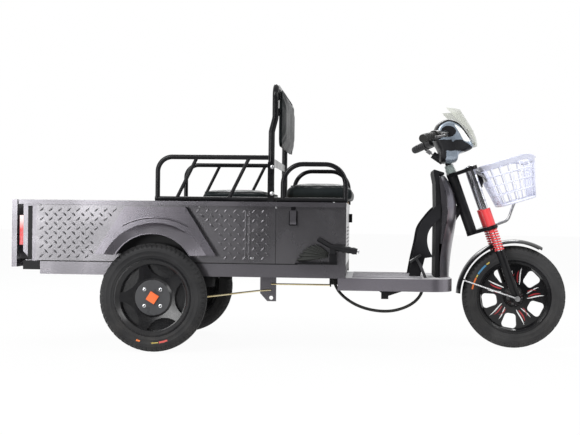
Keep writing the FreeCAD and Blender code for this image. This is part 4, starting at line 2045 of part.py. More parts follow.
def gland(x, low, high, bore_low, bore_high):
    body = bar((x, -hose_y, low), (x, -hose_y, high), gland_radius)
    return body.cut(bar((x, -hose_y, bore_low), (x, -hose_y, bore_high), hose_radius + fit_gap))


strike = block((latch_rear + ear_sheet * 2, -box_half_width - latch_sheet, latch_high + ear_sheet),
               (latch_rear + latch_width - ear_sheet * 2, -box_half_width, rim_bottom))
socket = block((box_front, socket_y - socket_half, socket_z - socket_half),
               (box_front + socket_depth, socket_y + socket_half, socket_z + socket_half))
hose_start = HOSE_ROUTE[0]
hose_end = HOSE_ROUTE[-1]
rear_gland = gland(hose_start[0], hose_start[1] - GLAND_LENGTH, box_bottom - wall,
                   hose_start[1] - GLAND_LENGTH,
                   hose_start[1] + seat_gap)
front_gland = gland(hose_end[0], hose_end[1] - GLAND_LENGTH, floor_top - floor_sheet,
                    hose_end[1] - GLAND_LENGTH,
                    hose_end[1] + seat_gap)
rod_lug = block((ROD_LUG_X, -rod_y - stay_radius * 2, ROD_Z - stay_radius * 2),
                (ROD_LUG_X + base_sheet, -rod_y + stay_radius * 2, box_bottom - wall))
node(group("box_fittings", [
    feature("BrakeBase", brake_base()),
    feature("LatchBase", latch_base()),
    feature("LatchStrike", strike),
    feature("ChargingSocket", socket),
    feature("RearGland", rear_gland),
    feature("FrontGland", front_gland),
    feature("RodLug", rod_lug),
]), "box_fittings")

# Draw latch lever
lever_face = -box_half_width - latch_stand


def latch_lever():
    start = latch_rear + ear_sheet + seat_gap
    end = latch_rear + latch_width - ear_sheet - seat_gap
    eye = bar((start, lever_face, latch_pin_z), (end, lever_face, latch_pin_z), latch_eye)
    blade = block((start, lever_face - latch_pin, latch_pin_z), (end, lever_face + latch_pin / 2,
                                                                 latch_high + ear_sheet / 2))
    lip = block((start, lever_face - latch_eye, latch_high - ear_sheet), (end, lever_face,
                                                                          latch_high + ear_sheet / 2))
    hole = bar((start, lever_face, latch_pin_z), (end, lever_face, latch_pin_z), latch_pin + fit_gap)
    return eye.fuse([blade, lip]).removeSplitter().cut(hole)


node(feature("latch_lever", latch_lever()), "latch_lever")

# Pleated boot behind the parking brake lever
boot_top_radius = size("boot_top_radius", 78, "length of the upper pleat from the pivot")
boot_low_radius = size("boot_low_radius", 147, "length of the lowest pleat from the pivot")
boot_root = size("boot_root", 22, "pivot back to the root of the pleats")
boot_rise = size("boot_rise", 37, "angle of the upper pleat above level, in degrees")
boot_notch = size("boot_notch", 0.86, "depth of the folds as a share of the pleat length")
doc.recompute()


def brake_boot():
    """A fan of pleats that lies on the brake base."""
    count = int(number(boot_pleats))
    lowest = number(boot_low_radius)
    drop = -math.asin(number(lever_pivot_z - base_top - seat_gap / 3) / lowest)
    top = math.radians(number(boot_rise))
    steps = count * 2
    outline = []
    for index in range(steps + 1):
        share = index / steps
        angle = top + (drop - top) * share
        reach = number(boot_top_radius) + (lowest - number(boot_top_radius)) * share
        if index % 2:
            reach *= number(boot_notch)
        outline.append((number(lever_pivot_x) - reach * math.cos(angle),
                        number(lever_pivot_z) + reach * math.sin(angle)))
    for angle in (drop, top):
        reach = number(boot_root)
        outline.append((number(lever_pivot_x) - reach * math.cos(angle),
                        number(lever_pivot_z) + reach * math.sin(angle)))
    return slab(outline, -lever_y - boot_width / 2, -lever_y + boot_width / 2)


node(feature("brake_boot", brake_boot()), "brake_boot")

# Parking brake lever with its grooved handle, and the release button in its end
LEVER_ROUTE = ((640, 448), (690, 420), (793, 402))
handle_radius = size("handle_radius", 12, "radius of the parking brake handle")
lever_tube = size("lever_tube", 8, "radius of the parking brake lever")
handle_show = size("handle_show", 86, "length of the parking brake handle")
button_radius = size("button_radius", 3, "radius of the release button shank")
button_head = size("button_head", 7, "radius of the release button head")
button_depth = size("button_depth", 20, "depth of the release button in the handle")
doc.recompute()
handle_root = point(LEVER_ROUTE[1][0], -lever_y, LEVER_ROUTE[1][1])
handle_tip = point(LEVER_ROUTE[2][0], -lever_y, LEVER_ROUTE[2][1])
HANDLE_WAY = (handle_tip - handle_root).normalize()


def on_handle(start, end, radius):
    """A round length of the handle, measured back from its tip."""
    low = handle_tip - HANDLE_WAY * number(start)
    return Part.makeCylinder(number(radius), number(start) - number(end), low, HANDLE_WAY)


def parking_lever():
    arm = tube([(x, -lever_y, z) for x, z in LEVER_ROUTE], lever_tube, lever_tube * 4)
    shapes = [on_handle(handle_show, 0, handle_radius)]
    for index in range(4):
        place = number(handle_show) - 6 - index * 20
        shapes.append(on_handle(place, place - 12, handle_radius + 1.5))
    web = [(LEVER_ROUTE[1][0] - 6, LEVER_ROUTE[1][1]), (LEVER_ROUTE[1][0] + 18, LEVER_ROUTE[1][1] - 3),
           (lever_pivot_x + lever_eye * 0.8, lever_pivot_z), (lever_pivot_x - lever_eye * 0.8, lever_pivot_z)]
    shapes.append(slab(web, -lever_y - lever_half, -lever_y + lever_half))
    shapes.append(bar((lever_pivot_x, -lever_y - lever_half, lever_pivot_z),
                      (lever_pivot_x, -lever_y + lever_half, lever_pivot_z), lever_eye))
    whole = arm.fuse(shapes).removeSplitter()
    hole = bar((lever_pivot_x, -lever_y - lever_half * 2, lever_pivot_z),
               (lever_pivot_x, -lever_y + lever_half * 2, lever_pivot_z), lever_pin + fit_gap)
    return whole.cut(hole).cut(on_handle(button_depth + button_travel + 1, 0, button_radius + fit_gap))


node(feature("parking_lever", parking_lever()), "parking_lever")
button_gap = button_travel + seat_gap
button = on_handle(button_depth, -button_gap - 1, button_radius)
button = button.fuse(on_handle(-button_gap, -button_gap - button_radius, button_head)).removeSplitter()
node(feature("release_button", button), "release_button")

# Brake pedal: an arm through the slot in the floor with a foot pad
PEDAL_PAD = ((1003, 362), (1045, 390), (1049, 383), (1007, 355))
PEDAL_ARM = ((1067, 262), (1083, 262), (1071, 298), (1052, 345), (1034, 374), (1026, 368), (1042, 340),
             (1061, 294))
pedal_pad_half = size("pedal_pad_half", 29, "half width of the brake pedal pad")
pedal_eye = size("pedal_eye", 10, "radius of the eye of the brake pedal")
doc.recompute()


def brake_pedal():
    pad_shape = slab(PEDAL_PAD, -pedal_y - pedal_pad_half, -pedal_y + pedal_pad_half)
    half = pedal_arm / 2
    arm = slab(PEDAL_ARM, -pedal_y - half, -pedal_y + half)
    eye = bar((pedal_x, -pedal_y - half, pedal_z), (pedal_x, -pedal_y + half, pedal_z), pedal_eye)
    pin_half = half + seat_gap + pedal_cheek
    pin = bar((pedal_x, -pedal_y - pin_half, pedal_z), (pedal_x, -pedal_y + pin_half, pedal_z), pedal_pin)
    return pad_shape.fuse([arm, eye, pin]).removeSplitter()


node(feature("brake_pedal", brake_pedal()), "brake_pedal")

# Brake rods beside the hanging bracket
front_rod = bar((bore_x, -rod_y, ROD_Z), (ROD_LUG_X, -rod_y, ROD_Z), stay_radius)
rear_rod = tube([(bore_x, -rod_y, ROD_Z - 24), (bracket_rear - 4, -rod_y, ROD_Z - 28), (110, -262, 200)],
                stay_radius, 60)
node(group("brake_rods", [feature("FrontRod", front_rod), feature("RearRod", rear_rod)]), "brake_rods")


def cord(route, radius):
    """A limp cord of straight runs and tangent arcs that share each corner's shorter run."""
    points = [Vector(x, -number(hose_y), z) for x, z in route]
    edges = []
    radii = []
    start = points[0]
    length = 0.0
    for before, corner, after in zip(points, points[1:], points[2:]):
        back = before - corner
        ahead = after - corner
        reach = 0.45 * min(back.Length, ahead.Length)
        back.normalize()
        ahead.normalize()
        half = (math.pi - back.getAngle(ahead)) / 2
        bend = reach / math.tan(half)
        enter = corner + back * reach
        leave = corner + ahead * reach
        middle = corner + (back + ahead).normalize() * (bend / math.cos(half) - bend)
        edges.append(Part.LineSegment(start, enter).toShape())
        edges.append(Part.Arc(enter, middle, leave).toShape())
        radii.append(bend)
        start = leave
    edges.append(Part.LineSegment(start, points[-1]).toShape())
    path = Part.Wire(edges)
    first = points[1] - points[0]
    section = Part.Wire(Part.Circle(points[0], first, number(radius)).toShape())
    solid = path.makePipeShell([section], True, False)
    share = solid.Volume / (math.pi * number(radius) ** 2 * path.Length)
    print("hose radii:", round(min(radii), 1), "to", round(max(radii), 1), "volume share:", round(share, 4))
    return solid


node(feature("wiring_hose", cord(HOSE_ROUTE, hose_radius)), "wiring_hose")

doc.recompute()
for item in doc.Objects:
    if "Invalid" in item.State or "Error" in item.State:
        raise RuntimeError(item.Name + " failed")
os.makedirs("parts", exist_ok=True)
for item in NODES:
    if item.Shape.isNull() or not item.Shape.isValid():
        raise RuntimeError(item.Label + " has no valid shape")
    item.Shape.exportStep("parts/" + item.Label + ".step")
print("sub-parts:", len(NODES))
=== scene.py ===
import json
import math

import bmesh
import bpy
from mathutils import Matrix, Vector


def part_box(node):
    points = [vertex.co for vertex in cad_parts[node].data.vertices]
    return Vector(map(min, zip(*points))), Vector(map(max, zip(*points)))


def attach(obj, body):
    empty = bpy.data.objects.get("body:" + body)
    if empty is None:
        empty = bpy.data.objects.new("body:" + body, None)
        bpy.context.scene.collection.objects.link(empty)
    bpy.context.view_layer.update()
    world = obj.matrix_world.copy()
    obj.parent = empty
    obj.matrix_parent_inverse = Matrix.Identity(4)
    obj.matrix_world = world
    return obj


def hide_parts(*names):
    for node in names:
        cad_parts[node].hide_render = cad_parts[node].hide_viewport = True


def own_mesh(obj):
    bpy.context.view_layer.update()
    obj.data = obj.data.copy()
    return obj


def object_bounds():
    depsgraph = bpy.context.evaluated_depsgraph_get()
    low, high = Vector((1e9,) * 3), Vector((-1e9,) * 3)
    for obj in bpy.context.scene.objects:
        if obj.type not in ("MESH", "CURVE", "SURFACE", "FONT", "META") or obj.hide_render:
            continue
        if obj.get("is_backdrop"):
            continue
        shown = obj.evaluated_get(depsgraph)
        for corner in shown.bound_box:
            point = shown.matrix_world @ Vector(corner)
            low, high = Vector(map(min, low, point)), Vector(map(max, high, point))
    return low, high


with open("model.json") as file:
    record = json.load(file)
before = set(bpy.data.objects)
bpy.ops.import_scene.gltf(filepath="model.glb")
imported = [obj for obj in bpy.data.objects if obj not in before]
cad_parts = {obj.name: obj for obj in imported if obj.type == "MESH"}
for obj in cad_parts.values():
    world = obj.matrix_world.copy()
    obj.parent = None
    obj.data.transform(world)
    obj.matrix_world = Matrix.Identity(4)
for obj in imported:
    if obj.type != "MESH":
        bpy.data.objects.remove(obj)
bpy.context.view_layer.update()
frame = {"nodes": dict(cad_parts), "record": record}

scene = bpy.context.scene
NODES = frame["nodes"]
REAR_AXLE_X = -0.53425
AXLE_HIGH = 212.5
RIGHT, LEFT = -1, 1
HANDS = ((RIGHT, "right"), (LEFT, "left"))
X_WAY, Y_WAY, Z_WAY = Vector((1, 0, 0)), Vector((0, 1, 0)), Vector((0, 0, 1))
SIDES = (RIGHT, LEFT)
ROUND = 2 * math.pi


def shares(steps):
    """Even shares from 0 to 1."""
    return [step / steps for step in range(steps + 1)]


def mix(low, high, share):
    return low + (high - low) * share


def place(x, y, z):
    """A point in millimetres from the floor below the rear axle's middle, as metres in the row frame."""
    return Vector((x / 1000 + REAR_AXLE_X, y / 1000, z / 1000))


def stand(name, data):
    """A new object in the scene."""
    thing = bpy.data.objects.new(name, data)
    scene.collection.objects.link(thing)
    return thing


def mesh_object(name, points, faces):
    mesh = bpy.data.meshes.new(name)
    mesh.from_pydata([tuple(point) for point in points], [], faces)
    mesh.update()
    return stand(name, mesh)


# Camera
CAMERA_SPOT = Vector((0.30175, -4.223, 0.531))
CAMERA_YAW, CAMERA_ROLL = math.radians(4.5), 0.0117
camera = stand("camera", bpy.data.cameras.new("camera"))
camera.data.lens = 62.07
camera.data.sensor_width = 36.0
camera.matrix_world = (
    Matrix.Translation(CAMERA_SPOT)
    @ Matrix.Rotation(CAMERA_YAW, 4, "Z")
    @ Matrix.Rotation(math.radians(90), 4, "X")
    @ Matrix.Rotation(CAMERA_ROLL, 4, "Z")
)
scene.camera = camera
scene.view_settings.view_transform = "Standard"


# Shader nodes
class Shade:
    """The nodes of one material, world or group."""

    def __init__(self, tree):
        self.tree = tree

    def add(self, kind, values=None, **settings):
        node = self.tree.nodes.new("ShaderNode" + kind)
        for name, value in settings.items():
            setattr(node, name, value)
        for name, value in (values or {}).items():
            self.put(node.inputs[name], value)
        return node

    def put(self, socket, value):
        if isinstance(value, bpy.types.NodeSocket):
            self.tree.links.new(value, socket)
        else:
            socket.default_value = (*value, 1.0) if socket.type == "RGBA" else value

    def sum(self, operation, *values, clamp=False):
        return self.add("Math", dict(enumerate(values)), operation=operation, use_clamp=clamp).outputs[0]

    def times(self, first, second):
        return self.sum("MULTIPLY", first, second)

    def span(self, *values):
        """A value eased from one range, low and high, into another, which is 0 to 1 if it isn't given."""
        return self.add("MapRange", dict(enumerate(values)), interpolation_type="SMOOTHSTEP").outputs[0]

    def tint(self, factor, first, second):
        return self.add("Mix", {0: factor, 6: first, 7: second}, data_type="RGBA").outputs[2]

    def group(self, name, **values):
        values = {label.replace("_", " "): value for label, value in values.items()}
        return self.add("Group", values, node_tree=bpy.data.node_groups[name]).outputs

    def where(self):
        return self.add("TexCoord").outputs["Object"]

    def normal(self):
        return self.add("NewGeometry").outputs["Normal"]

    def rounded(self, radius, samples):
        return self.add("Bevel", {"Radius": radius}, samples=samples).outputs[0]

    def height_of(self, vector):
        return self.add("SeparateXYZ", {"Vector": vector}).outputs["Z"]

    def noise(self, where, size, detail, **more):
        return self.add("TexNoise", {"Vector": where, "Scale": size, "Detail": detail, **more}).outputs

    def stretched(self, scale):
        return self.add("Mapping", {"Vector": self.where(), "Scale": scale}).outputs[0]

    def glow(self, tone):
        return self.add("Emission", {"Color": tone, "Strength": 1.0}).outputs[0]

    def seen(self):
        """1 on rays that the picture shows straight, as a reflection or through clear plastic, 0 on others."""
        path = self.add("LightPath").outputs
        straight = self.sum("MAXIMUM", path["Is Camera Ray"], path["Is Glossy Ray"])
        return self.sum("MAXIMUM", straight, path["Is Transmission Ray"])


# Each of these fills a node group from its inputs and returns its outputs by name
def mottle(shade, given):
    """Slow cloudiness and fine speckle."""
    where = shade.where()
    cloud = shade.span(shade.noise(where, given["Size"], 4.0)[0], 0.3, 0.7)
    return {"Cloud": cloud, "Speck": shade.noise(where, given["Speck Size"], 2.0)[0]}


def edge_rub(shade, given):
    """Edges that hands and boots have rubbed: where a rounded normal leaves the true one, broken up by noise."""
    normals = {0: shade.rounded(given["Width"], 4), 1: shade.normal()}
    edge = shade.span(shade.add("VectorMath", normals, operation="DOT_PRODUCT").outputs["Value"], 0.995, 0.86)
    patch = shade.noise(shade.where(), 38.0, 6.0, Roughness=0.7)[0]
    limit = shade.sum("SUBTRACT", 1.0, given["Spread"])
    broken = shade.span(patch, shade.times(limit, 0.6), shade.sum("ADD", limit, 0.25))
    return {"Rub": shade.times(edge, broken)}


def road_dust(shade, given):
    """Road dust: more near the floor and on faces that look up."""
    where = shade.where()
    low = shade.span(shade.height_of(where), given["Height"], 0.0)
    up = shade.span(shade.height_of(shade.normal()), 0.2, 1.0)
    cover = shade.sum("ADD", shade.times(low, 0.75), shade.times(up, 0.35))
    broken = shade.span(shade.noise(where, 16.0, 8.0, Roughness=0.65)[0], 0.35, 0.72)
    return {"Dust": shade.sum("MULTIPLY", shade.times(cover, broken), given["Amount"], clamp=True)}


def pebble_grain(shade, given):
    """Pressed vinyl: small pebbles with creases between them."""
    where = shade.where()
    bend = shade.noise(where, 60.0, 3.0)[1]
    shifted = shade.add("Mix", {0: 0.02, 4: where, 5: bend}, data_type="VECTOR").outputs[1]
    cell = {"Vector": shifted, "Scale": given["Size"]}
    pebble = shade.span(shade.add("TexVoronoi", cell, feature="DISTANCE_TO_EDGE").outputs[0], 0.0, 0.22)
    return {"Height": pebble, "Crease": shade.sum("SUBTRACT", 1.0, pebble)}


def drawn_lines(shade, given):
    """Fine lines drawn along the height of a metal piece."""
    return {"Line": shade.noise(shade.stretched((1.0, 1.0, 0.03)), given["Fine"], 2.0)[0]}


def metal_flake(shade, given):
    """Metal flake under clear lacquer."""
    cell = shade.add("TexVoronoi", {"Vector": shade.where(), "Scale": given["Size"]})
    return {"Flake": shade.add("SeparateColor", {"Color": cell.outputs["Color"]}).outputs[0]}


GROUPS = {
    mottle: ("Size", "Speck Size"), edge_rub: ("Width", "Spread"), road_dust: ("Height", "Amount"),
    pebble_grain: ("Size",), drawn_lines: ("Fine",), metal_flake: ("Size",),
}
for fill, labels in GROUPS.items():
    tree = bpy.data.node_groups.new(fill.__name__, "ShaderNodeTree")
    for label in labels:
        tree.interface.new_socket(label, in_out="INPUT", socket_type="NodeSocketFloat")
    group_end = tree.nodes.new("NodeGroupOutput")
    for label, result in fill(Shade(tree), tree.nodes.new("NodeGroupInput").outputs).items():
        tree.interface.new_socket(label, in_out="OUTPUT", socket_type="NodeSocketFloat")
        tree.links.new(result, group_end.inputs[label])


# Materials
DUST = (0.30, 0.27, 0.23)
WORN_LACQUER = (0.36, 0.345, 0.37)


class Finish(Shade):
    """A material with one Principled shader whose plain values are set on its own sockets."""

    def __init__(self, **constants):
        self.material = bpy.data.materials.new("finish")
        self.material.use_nodes = True
        super().__init__(self.material.node_tree)
        self.ports = self.tree.nodes["Principled BSDF"].inputs
        for label, value in constants.items():
            self.ports[label.replace("_", " ")].default_value = value

    def worn(self, tone, width, spread, bare):
        return self.tint(self.group("edge_rub", Width=width, Spread=spread)[0], tone, bare)

    def dusty(self, tone, gloss, reach, amount, dull):
        """A tone and a gloss with road dust over both."""
        dirt = self.group("road_dust", Height=reach, Amount=amount)[0]
        return self.tint(dirt, tone, DUST), self.sum("ADD", gloss, self.times(dirt, dull), clamp=True)

    def done(self, tone, gloss, height, depth, strength=0.6, soften=0.0):
        """Sets the colour, the roughness and a fine relief, with softened edges if asked."""
        bump = self.add("Bump", {"Height": height, "Distance": depth, "Strength": strength})
        if soften:
            self.put(bump.inputs["Normal"], self.rounded(soften, 8))
        for label, value in (("Base Color", tone), ("Roughness", gloss), ("Normal", bump.outputs[0])):
            self.put(self.ports[label], value)
        return self.material


def coated(
    deep, pale, rough, dust=0.05, rub=0.0, bare=None, grain=500.0, depth=0.00004, shine=0.5, coat=0.0
):
    """A painted or moulded finish: cloudy colour, uneven gloss, worn edges, dust and a fine skin."""
    shade = Finish(Specular_IOR_Level=shine, Coat_Weight=coat)
    cloud, speck = shade.group("mottle", Size=7.0, Speck_Size=grain)
    tone = shade.tint(cloud, deep, pale)
    if rub:
        tone = shade.worn(tone, 0.003, rub, bare)
    gloss = shade.span(cloud, 0.0, 1.0, rough - 0.04, rough + 0.04)
    return shade.done(*shade.dusty(tone, gloss, 0.4, dust, 0.3), speck, depth)


def flaked(deep, pale, rough, rub=0.2, metallic=0.85):
    """Metallic lacquer: flake in the colour, a clear coat with a little orange peel, rubbed edges."""
    shade = Finish(Metallic=metallic, Coat_Weight=0.35, Coat_Roughness=0.22)
    cloud, speck = shade.group("mottle", Size=5.0, Speck_Size=170.0)
    flake = shade.group("metal_flake", Size=1700.0)[0]
    tone = shade.tint(shade.times(flake, 0.5), deep, pale)
    tone = shade.tint(shade.times(cloud, 0.25), tone, deep)
    tone = shade.worn(tone, 0.0025, rub, WORN_LACQUER)
    gloss = shade.span(cloud, 0.0, 1.0, rough - 0.03, rough + 0.05)
    return shade.done(*shade.dusty(tone, gloss, 0.42, 0.12, 0.35), speck, 0.00002, 0.3)


def bright_metal(deep, pale, rough, dust=0.1, fine=900.0, depth=0.00002, soften=0.0):
    """Bare or plated metal with drawn lines, cloudy tone and a little dust."""
    shade = Finish(Metallic=1.0)
    cloud = shade.group("mottle", Size=14.0, Speck_Size=300.0)[0]
    line = shade.group("drawn_lines", Fine=fine)[0]
    gloss = shade.span(line, 0.3, 0.7, rough * 0.75, rough * 1.3)
    tone, gloss = shade.dusty(shade.tint(cloud, deep, pale), gloss, 0.35, dust, 0.4)
    return shade.done(tone, gloss, line, depth, 0.3, soften)


def pebbled(deep, pale, dark, rough):
    """Upholstery vinyl: pebble grain with creases darkened as painted shade and a soft shine on its crowns."""
    shade = Finish(Specular_IOR_Level=0.14)
    cloud = shade.group("mottle", Size=9.0, Speck_Size=600.0)[0]
    pebble, crease = shade.group("pebble_grain", Size=260.0)
    # Darkening the creases is painted shade.
    tone = shade.tint(shade.times(crease, 0.6), shade.tint(cloud, deep, pale), dark)
    gloss = shade.span(cloud, 0.0, 1.0, rough - 0.05, rough + 0.06)
    return shade.done(tone, shade.sum("ADD", gloss, shade.times(crease, 0.12)), pebble, 0.00025, 0.5)


def tail_lamp_plastic(deep, pale, top):
    """Lamp plastic that turns pale towards its top."""
    low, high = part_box("tail_lamps")
    shade = Finish(Specular_IOR_Level=0.3)
    fade = shade.span(shade.height_of(shade.where()), (low.z + high.z) / 2, high.z)
    cloud, speck = shade.group("mottle", Size=30.0, Speck_Size=500.0)
    tone = shade.tint(fade, shade.tint(cloud, deep, pale), top)
    return shade.done(tone, shade.span(cloud, 0.0, 1.0, 0.16, 0.26), speck, 0.00005, 0.4)


def clear_plastic(tint, rough, **constants):
    """Moulded pale plastic with a faint haze."""
    shade = Finish(**constants)
    cloud, speck = shade.group("mottle", Size=12.0, Speck_Size=350.0)
    tone = shade.tint(cloud, tint, [part * 0.95 for part in tint])
    return shade.done(tone, shade.span(cloud, 0.0, 1.0, rough * 0.8, rough * 1.25), speck, 0.00001, 0.15)


def plywood(deep, pale):
    """Thin plywood with its grain running across the vehicle."""
    shade = Finish()
    ring = shade.noise(shade.stretched((9.0, 0.6, 9.0)), 9.0, 6.0, Distortion=1.2)[0]
    tone = shade.tint(shade.span(ring, 0.3, 0.7), deep, pale)
    return shade.done(tone, shade.span(ring, 0.3, 0.7, 0.55, 0.72), ring, 0.0003, 0.4)


TREAD_RUBBER = {"dust": 0.06, "grain": 700.0, "depth": 0.00015, "shine": 0.2}
SOFT_RUBBER = {"grain": 800.0, "depth": 0.0001}
FINISH = {
    "body_paint": flaked((0.092, 0.088, 0.098), (0.205, 0.195, 0.215), 0.28),
    "checker_paint": flaked((0.094, 0.091, 0.098), (0.214, 0.207, 0.221), 0.27, rub=0.05, metallic=0.9),
    # copy of the body paint toned for how light falls on the wheel arches: painted light and shade
    "arch_paint_toned_for_light": flaked((0.10, 0.094, 0.108), (0.225, 0.212, 0.238), 0.26),
    # lighter copy of the body paint for the leg shield and floor pan: painted light
    "lit_shield_paint": flaked((0.16, 0.15, 0.172), (0.36, 0.34, 0.38), 0.32),
    "cowl_paint": flaked((0.24, 0.29, 0.35), (0.42, 0.48, 0.56), 0.28, rub=0.1, metallic=0.4),
    "black_paint": coated(
        (0.004, 0.004, 0.005), (0.011, 0.011, 0.012), 0.2, rub=0.2, bare=(0.08, 0.08, 0.08), shine=0.18
    ),
    "frame_black": coated(
        (0.006, 0.006, 0.007), (0.016, 0.016, 0.018), 0.45,
        dust=0.12, rub=0.25, bare=(0.10, 0.09, 0.08), grain=350.0, depth=0.00012, shine=0.2,
    ),
    "inner_black": coated((0.008, 0.008, 0.009), (0.018, 0.018, 0.020), 0.6, dust=0.03, shine=0.05),
    "rim_black": coated((0.005, 0.005, 0.006), (0.013, 0.013, 0.014), 0.2, dust=0.03, shine=0.35),
    "hub_grey": coated((0.026, 0.027, 0.029), (0.045, 0.046, 0.049), 0.28, dust=0.03, shine=0.4),
    # A dark copy for the tailgate's upward ledge: painted shade over that thin face's bright reflection.
    "ledge_painted_shade": coated((0.030, 0.029, 0.032), (0.055, 0.053, 0.057), 0.8, dust=0.1, shine=0.05),
    "floor_grey": coated((0.46, 0.46, 0.48), (0.60, 0.60, 0.62), 0.62, dust=0.3, grain=260.0, depth=0.0004),
    "red_cover": coated((0.66, 0.035, 0.042), (0.80, 0.06, 0.068), 0.3, dust=0.03, depth=0.00006, coat=0.3),
    "red_spring": coated((0.52, 0.03, 0.035), (0.72, 0.055, 0.06), 0.32, coat=0.3),
    "cap_orange": coated((0.72, 0.10, 0.012), (0.86, 0.15, 0.02), 0.35, dust=0.02, coat=0.3),
    "stroke_white": coated((0.70, 0.70, 0.70), (0.82, 0.82, 0.82), 0.3, coat=0.3),
    "stroke_red": coated((0.26, 0.015, 0.02), (0.40, 0.025, 0.03), 0.3, coat=0.3),
    "mark_orange": coated((0.60, 0.13, 0.02), (0.74, 0.20, 0.04), 0.5),
    "mark_yellow": coated((0.55, 0.42, 0.08), (0.70, 0.55, 0.14), 0.5),
    "mark_blue": coated((0.05, 0.20, 0.36), (0.09, 0.30, 0.48), 0.5),
    "mark_red": coated((0.50, 0.06, 0.05), (0.62, 0.10, 0.08), 0.5),
    "tyre": coated((0.024, 0.024, 0.025), (0.042, 0.042, 0.043), 0.6, **TREAD_RUBBER),
    "tyre_dark": coated((0.014, 0.014, 0.015), (0.027, 0.027, 0.028), 0.6, **TREAD_RUBBER),
    "rubber": coated((0.008, 0.008, 0.008), (0.018, 0.018, 0.017), 0.55, dust=0.08, shine=0.25, **SOFT_RUBBER),
    "gaiter_rubber": coated((0.26, 0.30, 0.29), (0.38, 0.43, 0.42), 0.5, dust=0.1, **SOFT_RUBBER),
    "boot_rubber": coated((0.011, 0.012, 0.011), (0.026, 0.027, 0.025), 0.6, shine=0.25, **SOFT_RUBBER),
    "black_plastic": coated(
        (0.007, 0.007, 0.008), (0.016, 0.016, 0.018), 0.4, grain=900.0, depth=0.00012, shine=0.2
    ),
    "zinc": bright_metal((0.62, 0.50, 0.26), (0.78, 0.70, 0.46), 0.3),
    "steel": bright_metal((0.42, 0.42, 0.43), (0.60, 0.60, 0.61), 0.32),
    "cast": bright_metal((0.05, 0.05, 0.052), (0.10, 0.10, 0.105), 0.38),
    "chrome": bright_metal(
        (0.74, 0.75, 0.77), (0.86, 0.87, 0.88), 0.07, dust=0.03, fine=300.0, depth=0.000002, soften=0.006
    ),
    # The third colour is painted shade in the grain's creases.
    "vinyl": pebbled((0.005, 0.008, 0.009), (0.011, 0.016, 0.017), (0.00275, 0.0044, 0.00495), 0.38),
    "lamp_red": tail_lamp_plastic((0.46, 0.012, 0.016), (0.58, 0.022, 0.026), (0.85, 0.62, 0.6)),
    "basket_plastic": clear_plastic((0.76, 0.78, 0.92), 0.35, Specular_IOR_Level=0.4),
    "lens": clear_plastic((0.88, 0.89, 0.88), 0.08, Coat_Weight=0.5),
    "screen": clear_plastic((0.62, 0.64, 0.57), 0.12, Alpha=0.5),
    "wood": plywood((0.42, 0.28, 0.16), (0.60, 0.43, 0.27)),
}
for finish_name, material in FINISH.items():
    material.name = finish_name


# Finishes of the CAD nodes
NODE_FINISH = {row["node"]: row["material_slot"] for row in frame["record"]["subparts"]}
# The leg shield and the floor pan's rim take a lighter copy of the body paint: painted light where those faces catch
# more light.
NODE_FINISH.update(
    front_fender="rim_black", latch_lever="body_paint", brake_pedal="cast", inner_panel="inner_black",
    # The wheel arches take their own toned copy of the body paint, as painted light and shade.
    leg_shield="lit_shield_paint", floor_pan="lit_shield_paint", wheel_arch_right="arch_paint_toned_for_light", wheel_arch_left="arch_paint_toned_for_light",
)
SILL_Y, SILL_REAR = 0.289, place(-470.5, 0, 0).x
BRACKET_REAR, BRACKET_FRONT, BRACKET_Y = place(400, 0, 0).x, place(469, 0, 0).x, -0.15
FLAT = 0.9
LEDGE_LEVEL, MAT_LEVEL = 0.36, 0.288
HUB_FACE, HUB_STEP = 0.3815, 0.004
CAP_REACH, HUB_REACH = 0.0275, 0.066
BOLT_INNER, BOLT_OUTER = 0.036, 0.055


def dress(thing, finish):
    thing.data.materials.clear()
    thing.data.materials.append(FINISH[finish])


def recolour(node_name, finish, wanted):
    """Gives another finish to the faces of a CAD node whose middle and normal pass a test."""
    mesh = NODES[node_name].data
    mesh.materials.append(FINISH[finish])
    index = len(mesh.materials) - 1
    for face in mesh.polygons:
        if wanted(face.center, face.normal):
            face.material_index = index


def on_hub(inner, outer, low=HUB_FACE, flat=0.0):
    """A test for the faces of a rear hub between two radii."""
    def test(m, n):
        off_axle = math.hypot(m.x - REAR_AXLE_X, m.z - AXLE_HIGH / 1000)
        return inner < off_axle < outer and abs(m.y) > low and abs(n.y) >= flat
    return test


for node_name, node in NODES.items():
    dress(node, NODE_FINISH[node_name])
recolour("chassis_frame", "body_paint", lambda m, n: abs(m.y) > SILL_Y and m.x > SILL_REAR)
recolour("underbody_brackets", "body_paint", lambda m, n: BRACKET_REAR < m.x < BRACKET_FRONT and m.y < BRACKET_Y)
# The tailgate's upward ledge is darkened as painted shade against its bright reflection.
recolour("tailgate", "ledge_painted_shade", lambda m, n: n.z > FLAT and m.z < LEDGE_LEVEL)
recolour("floor_pan", "floor_grey", lambda m, n: n.z > FLAT and m.z > MAT_LEVEL)
for node_name in ("rear_wheel_right", "rear_wheel_left"):
    recolour(node_name, "cap_orange", on_hub(-1, CAP_REACH))
    recolour(node_name, "hub_grey", on_hub(CAP_REACH, HUB_REACH, HUB_FACE - HUB_STEP, FLAT))
    recolour(node_name, "chrome", on_hub(BOLT_INNER, BOLT_OUTER))


